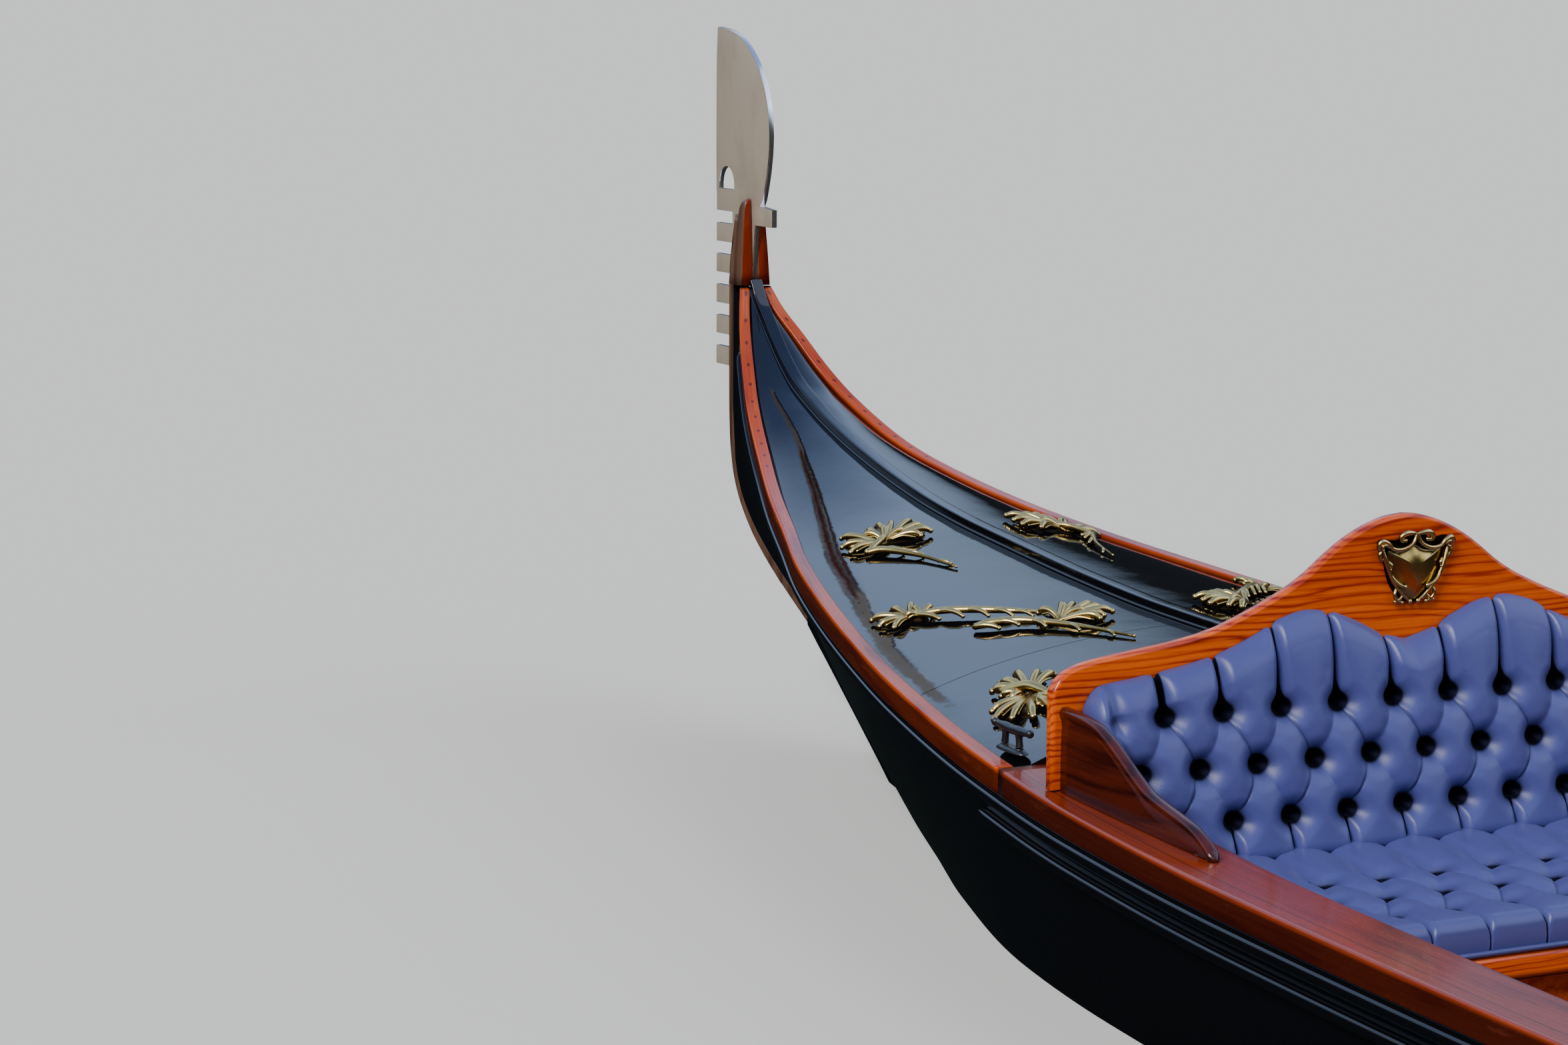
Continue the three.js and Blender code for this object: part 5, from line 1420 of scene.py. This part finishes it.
# cleat: a domed foot, two posts and a horn that swells in the middle and ends in balls
def cleat(side, s):
    spec = cleatSpec
    turn = np.linspace(0, 2 * math.pi, 28, endpoint=False)
    outline = np.stack([spec["long"] * np.sign(np.cos(turn)) * np.abs(np.cos(turn)) ** 0.7,
                        spec["wide"] * np.sign(np.sin(turn)) * np.abs(np.sin(turn)) ** 0.8], 1)
    parts = mound(outline, 7.0, 0.0, (0.6, 0.2), 6.0)
    for u in (-spec["post"], spec["post"]):
        parts += bar([(u, 0, 3), (u, 0, 12), (u * 0.94, 0, 22), (u * 0.9, 0, 34)], [9.0, 6.2, 5.8, 8.0],
                     share=4, facets=14)
    near, middle, end = spec["horn"]
    for t in (-1, 1):
        parts += bar([(0, 0, 35), (t * near, 0, 36), (t * middle, 0, 36.5), (t * end, 0, 37.5)],
                     [7.8, 8.2, 6.4, 4.6], ball=7.2, facets=14)
    castWork("cleatPiece_" + side, parts,
             lambda u, v, w: toFrame(spec["d"] + u, s * (spec["y"] + v), spec["foot"] + w), blackIron, "black_iron",
             replaces=["cleat_" + side], angle=60)


for side, s in sides:
    cleat(side, s)

floorSpec = {"span": (2744, 6866), "step": 90, "boards": 9, "gap": 7.0, "low": 66.0, "high": 82.0, "clear": 2,
             "narrowest": 14, "radius": [1.5, 1.5, 4.0, 4.0]}


# floor: long boards side by side with gaps, edges rounded, the outer ones cut to the curve of the hull
def floorBoards():
    spec = floorSpec
    d = stations(*spec["span"], spec["step"])
    wall = nodeHalf(d)
    edges = np.linspace(-wall.max(), wall.max(), spec["boards"] + 1)
    parts = []
    for low, high in zip(edges[:-1] + spec["gap"] / 2, edges[1:] - spec["gap"] / 2):
        a, b = np.maximum(low, -wall + spec["clear"]), np.minimum(high, wall - spec["clear"])
        keep = b - a > spec["narrowest"]
        if keep.sum() < 3:
            continue
        a, b = a[keep], b[keep]
        corners = [(a, spec["low"]), (b, spec["low"]), (b, spec["high"]), (a, spec["high"])]
        corners = np.stack([np.stack([y, 0 * y + z], -1) for y, z in corners], 1)
        ring = softCorners(corners, spec["radius"])
        long = np.broadcast_to(d[keep][:, None], ring.shape[:2])
        grain = np.stack([long, ring[..., 0], ring[..., 1]], -1).reshape(-1, 3) / 1000
        points = toFrame(long, ring[..., 0], ring[..., 1]).reshape(-1, 3)
        parts.append((points, ringFaces(*ring.shape[:2]), grain))
    points, faces, grain = joined(parts)
    finish(rawMesh("floorBoards", points, faces, grain=grain), "floorBoards", floorWood, slot="floor_wood",
           replaces=["floor_boards"], angle=45)


# half breadth of the floor: the node's own outline, read from its mesh at each station
def nodeHalf(d):
    mesh = nodes["floor_boards"].data
    flat = np.empty(len(mesh.vertices) * 3)
    mesh.vertices.foreach_get("co", flat)
    flat = flat.reshape(-1, 3) * 1000
    at, order = np.unique(np.round(halfLength - flat[:, 0], 1), return_inverse=True)
    half = np.full(len(at), 1e9)
    np.minimum.at(half, order, np.where(np.abs(flat[:, 1]) > 60, np.abs(flat[:, 1]), 1e9))
    good = half < 1e8
    return np.interp(d, at[good], half[good])


floorBoards()

doorSpec = {"face": -1439.0, "hinge": 191.25, "heights": (196.0, 322.0), "knob": (-150.0, 258.0),
            "strap": [(187, -13), (158, -13), (116, -8), (98, -4), (94, 0), (98, 4), (116, 8), (158, 13),
                      (187, 13)],
            "rivets": (172, 146, 120)}


# locker door fittings: two brass straps with a knuckle at the hinge, and a turned knob on a rose
def doorFittings():
    spec = doorSpec
    parts = []
    for z in spec["heights"]:
        parts += mound(np.array(spec["strap"], float) + [0, z], 2.6, 0.0, (0.4, 0.1), 8.0)
        knuckle = [(spec["hinge"], z + up, 4) for up in (-17, -6, 6, 17)]
        parts += bar(knuckle, [3.3, 3.5, 3.5, 3.3], facets=12)
        for u in spec["rivets"]:
            parts += mound(disc(u, z, 3.4), 1.6, 2.2, (0.3, 0.0), 2.0)
    u, z = spec["knob"]
    parts += mound(disc(u, z, 15), 3.0, 0.0, (0.5, 0.1), 5.0)
    stem = [(u, z, 2), (u, z + 0.01, 8), (u, z + 0.02, 13), (u, z + 0.03, 18)]
    parts += bar(stem, [6.0, 4.6, 8.5, 7.0], ball=7.6, facets=16)
    castWork("doorFittings", parts, lambda y, z, w: np.stack([spec["face"] + w, y, z], -1) / 1000, oldBrass,
             "brass", body="locker_door")


doorFittings()
print("fittings made")


studio = {"floor": (0.84, 0.85, 0.86), "floorMirrored": (0.010, 0.014, 0.015), "world": (0.82, 0.86, 0.93),
          "worldPower": 0.36, "backdrop": 1.2, "skyLow": (0.52, 0.70, 1.0), "skyHigh": (0.13, 0.21, 0.46),
          "shore": (0.008, 0.010, 0.012), "skyPower": 2.0, "span": (1185, 9465), "step": 60,
          # height of the floor in mm, and how far it reaches in m
          "water": 220.0, "reach": 400.0}


# floor: a wide plane at the waterline, cut out along the outside of the hull, as strips that run from
# each station's half breadth out to the edge, with plain ends ahead and astern
def studioFloor():
    d = stations(*studio["span"], studio["step"])
    t = (studio["water"] - footZ(d)) / (sheerZ(d) - boatLines["underRail"] - footZ(d))
    y = sideFace(d, t)[0] / 1000 - 0.001
    y[[0, -1]] = 0
    x, far, n = (halfLength - d) / 1000, studio["reach"], len(d)
    rows = np.stack([np.stack([x, across], 1) for across in (y, 0 * y + far, -y, 0 * y - far)])
    ends = [(far, -far), (far, far), (-far, far), (-far, -far)]
    points = np.vstack([rows.reshape(-1, 2), ends])
    points = np.hstack([points, np.full((len(points), 1), studio["water"] / 1000)])
    i = np.arange(n - 1)
    port = np.stack([i, i + 1, i + 1 + n, i + n], 1)
    starboard = np.stack([i + 2 * n, i + 3 * n, i + 1 + 3 * n, i + 1 + 2 * n], 1)
    a, b = 4 * n, 4 * n + 1
    faces = port[:, ::-1].tolist() + starboard[:, ::-1].tolist()
    faces += [[a, b, n, 0, 3 * n], [b + 2, 4 * n - 1, n - 1, 2 * n - 1, b + 1]]
    mesh = rawMesh("studioFloor", points, faces)
    work = bmesh.new()
    work.from_mesh(mesh)
    for one in work.faces:
        one.normal_update()
        if one.normal.z < 0:
            one.normal_flip()
    work.to_mesh(mesh)
    work.free()
    floor = bpy.data.objects.new("studioFloor", mesh)
    bpy.context.scene.collection.objects.link(floor)
    g = Graph("studio floor")
    pale = g.node("BsdfDiffuse", None, {"Color": (*studio["floor"], 1)})
    dark = g.node("BsdfDiffuse", None, {"Color": (*studio["floorMirrored"], 1)})
    glossy = g.node("LightPath", output=3)
    both = g.node("MixShader", None, {0: glossy, 1: pale, 2: dark})
    g.node("OutputMaterial", None, {"Surface": both}, output=None)
    mesh.materials.append(g.material)


# world: an even pale backdrop, and for what the gloss mirrors a blue sky, deeper towards the top, over
# a dark shore
def studioWorld():
    world = bpy.data.worlds.new("studio")
    bpy.context.scene.world = world
    world.use_nodes = True
    g = Graph("studio world", world.node_tree)
    up = g.node("SeparateXYZ", None, {0: g.node("TexCoord", output=0)}, output=2)
    sky = g.mix(g.limit(up, 0.30, 0.85), studio["skyLow"], studio["skyHigh"])
    sky = g.mix(g.limit(up, 0.20, 0.46), studio["shore"], sky)
    even = g.node("Background", None, {"Color": (*studio["world"], 1), "Strength": studio["worldPower"]})
    seen = g.node("Background", None, {"Color": (*studio["world"], 1), "Strength": studio["backdrop"]})
    mirror = g.node("Background", None, {"Color": sky, "Strength": studio["skyPower"]})
    lit = g.node("MixShader", None, {0: g.node("LightPath", output=3), 1: even, 2: mirror})
    both = g.node("MixShader", None, {0: g.node("LightPath", output=0), 1: lit, 2: seen})
    g.node("OutputWorld", None, {"Surface": both}, output=None)


studioFloor()
studioWorld()


# soft suns: where each stands seen from the boat, its strength, how wide its disc is and its colour
lightSpec = {
    "key": ((-1.9, 3.3, 3.1), 3.1, 24.0, (1.0, 0.97, 0.92)),
    "fill": ((-5.0, -6.0, 6.0), 0.7, 60.0, (0.92, 0.96, 1.0)),
}


# one soft sun that shines from the given direction towards the boat
def sunLight(name, toward, power, wide, colour):
    data = bpy.data.lights.new(name, "SUN")
    data.energy = power
    data.angle = math.radians(wide)
    data.color = colour
    lamp = bpy.data.objects.new(name, data)
    bpy.context.scene.collection.objects.link(lamp)
    lamp.location = (0, 0, 8)
    lamp.rotation_euler = Vector(toward).to_track_quat("Z", "Y").to_euler()


for name, values in lightSpec.items():
    sunLight(name, *values)

# place in metres, angles in degrees, lens in millimetres on a 36 mm wide sensor
cameraSpec = {"place": (-2.165, 3.555, 1.849), "yaw": 26.1, "pitch": 8.4, "roll": 0.33, "lens": 84.18}


# camera axes: forward from yaw and pitch, then right and up turned by the roll
def makeCamera(spec):
    yaw, pitch, roll = (math.radians(spec[k]) for k in ("yaw", "pitch", "roll"))
    ahead = Vector((math.cos(yaw) * math.cos(pitch), -math.sin(yaw) * math.cos(pitch), -math.sin(pitch)))
    right = ahead.cross(Vector((0, 0, 1))).normalized()
    up = right.cross(ahead)
    turnedRight = right * math.cos(roll) + up * math.sin(roll)
    turnedUp = up * math.cos(roll) - right * math.sin(roll)
    data = bpy.data.cameras.new("camera")
    data.lens = spec["lens"]
    data.sensor_width = 36
    data.clip_end = 900
    camera = bpy.data.objects.new("camera", data)
    bpy.context.scene.collection.objects.link(camera)
    axes = Matrix((turnedRight, turnedUp, -ahead)).transposed().to_4x4()
    axes.translation = Vector(spec["place"])
    camera.matrix_world = axes
    bpy.context.scene.camera = camera


makeCamera(cameraSpec)

print("studio made")
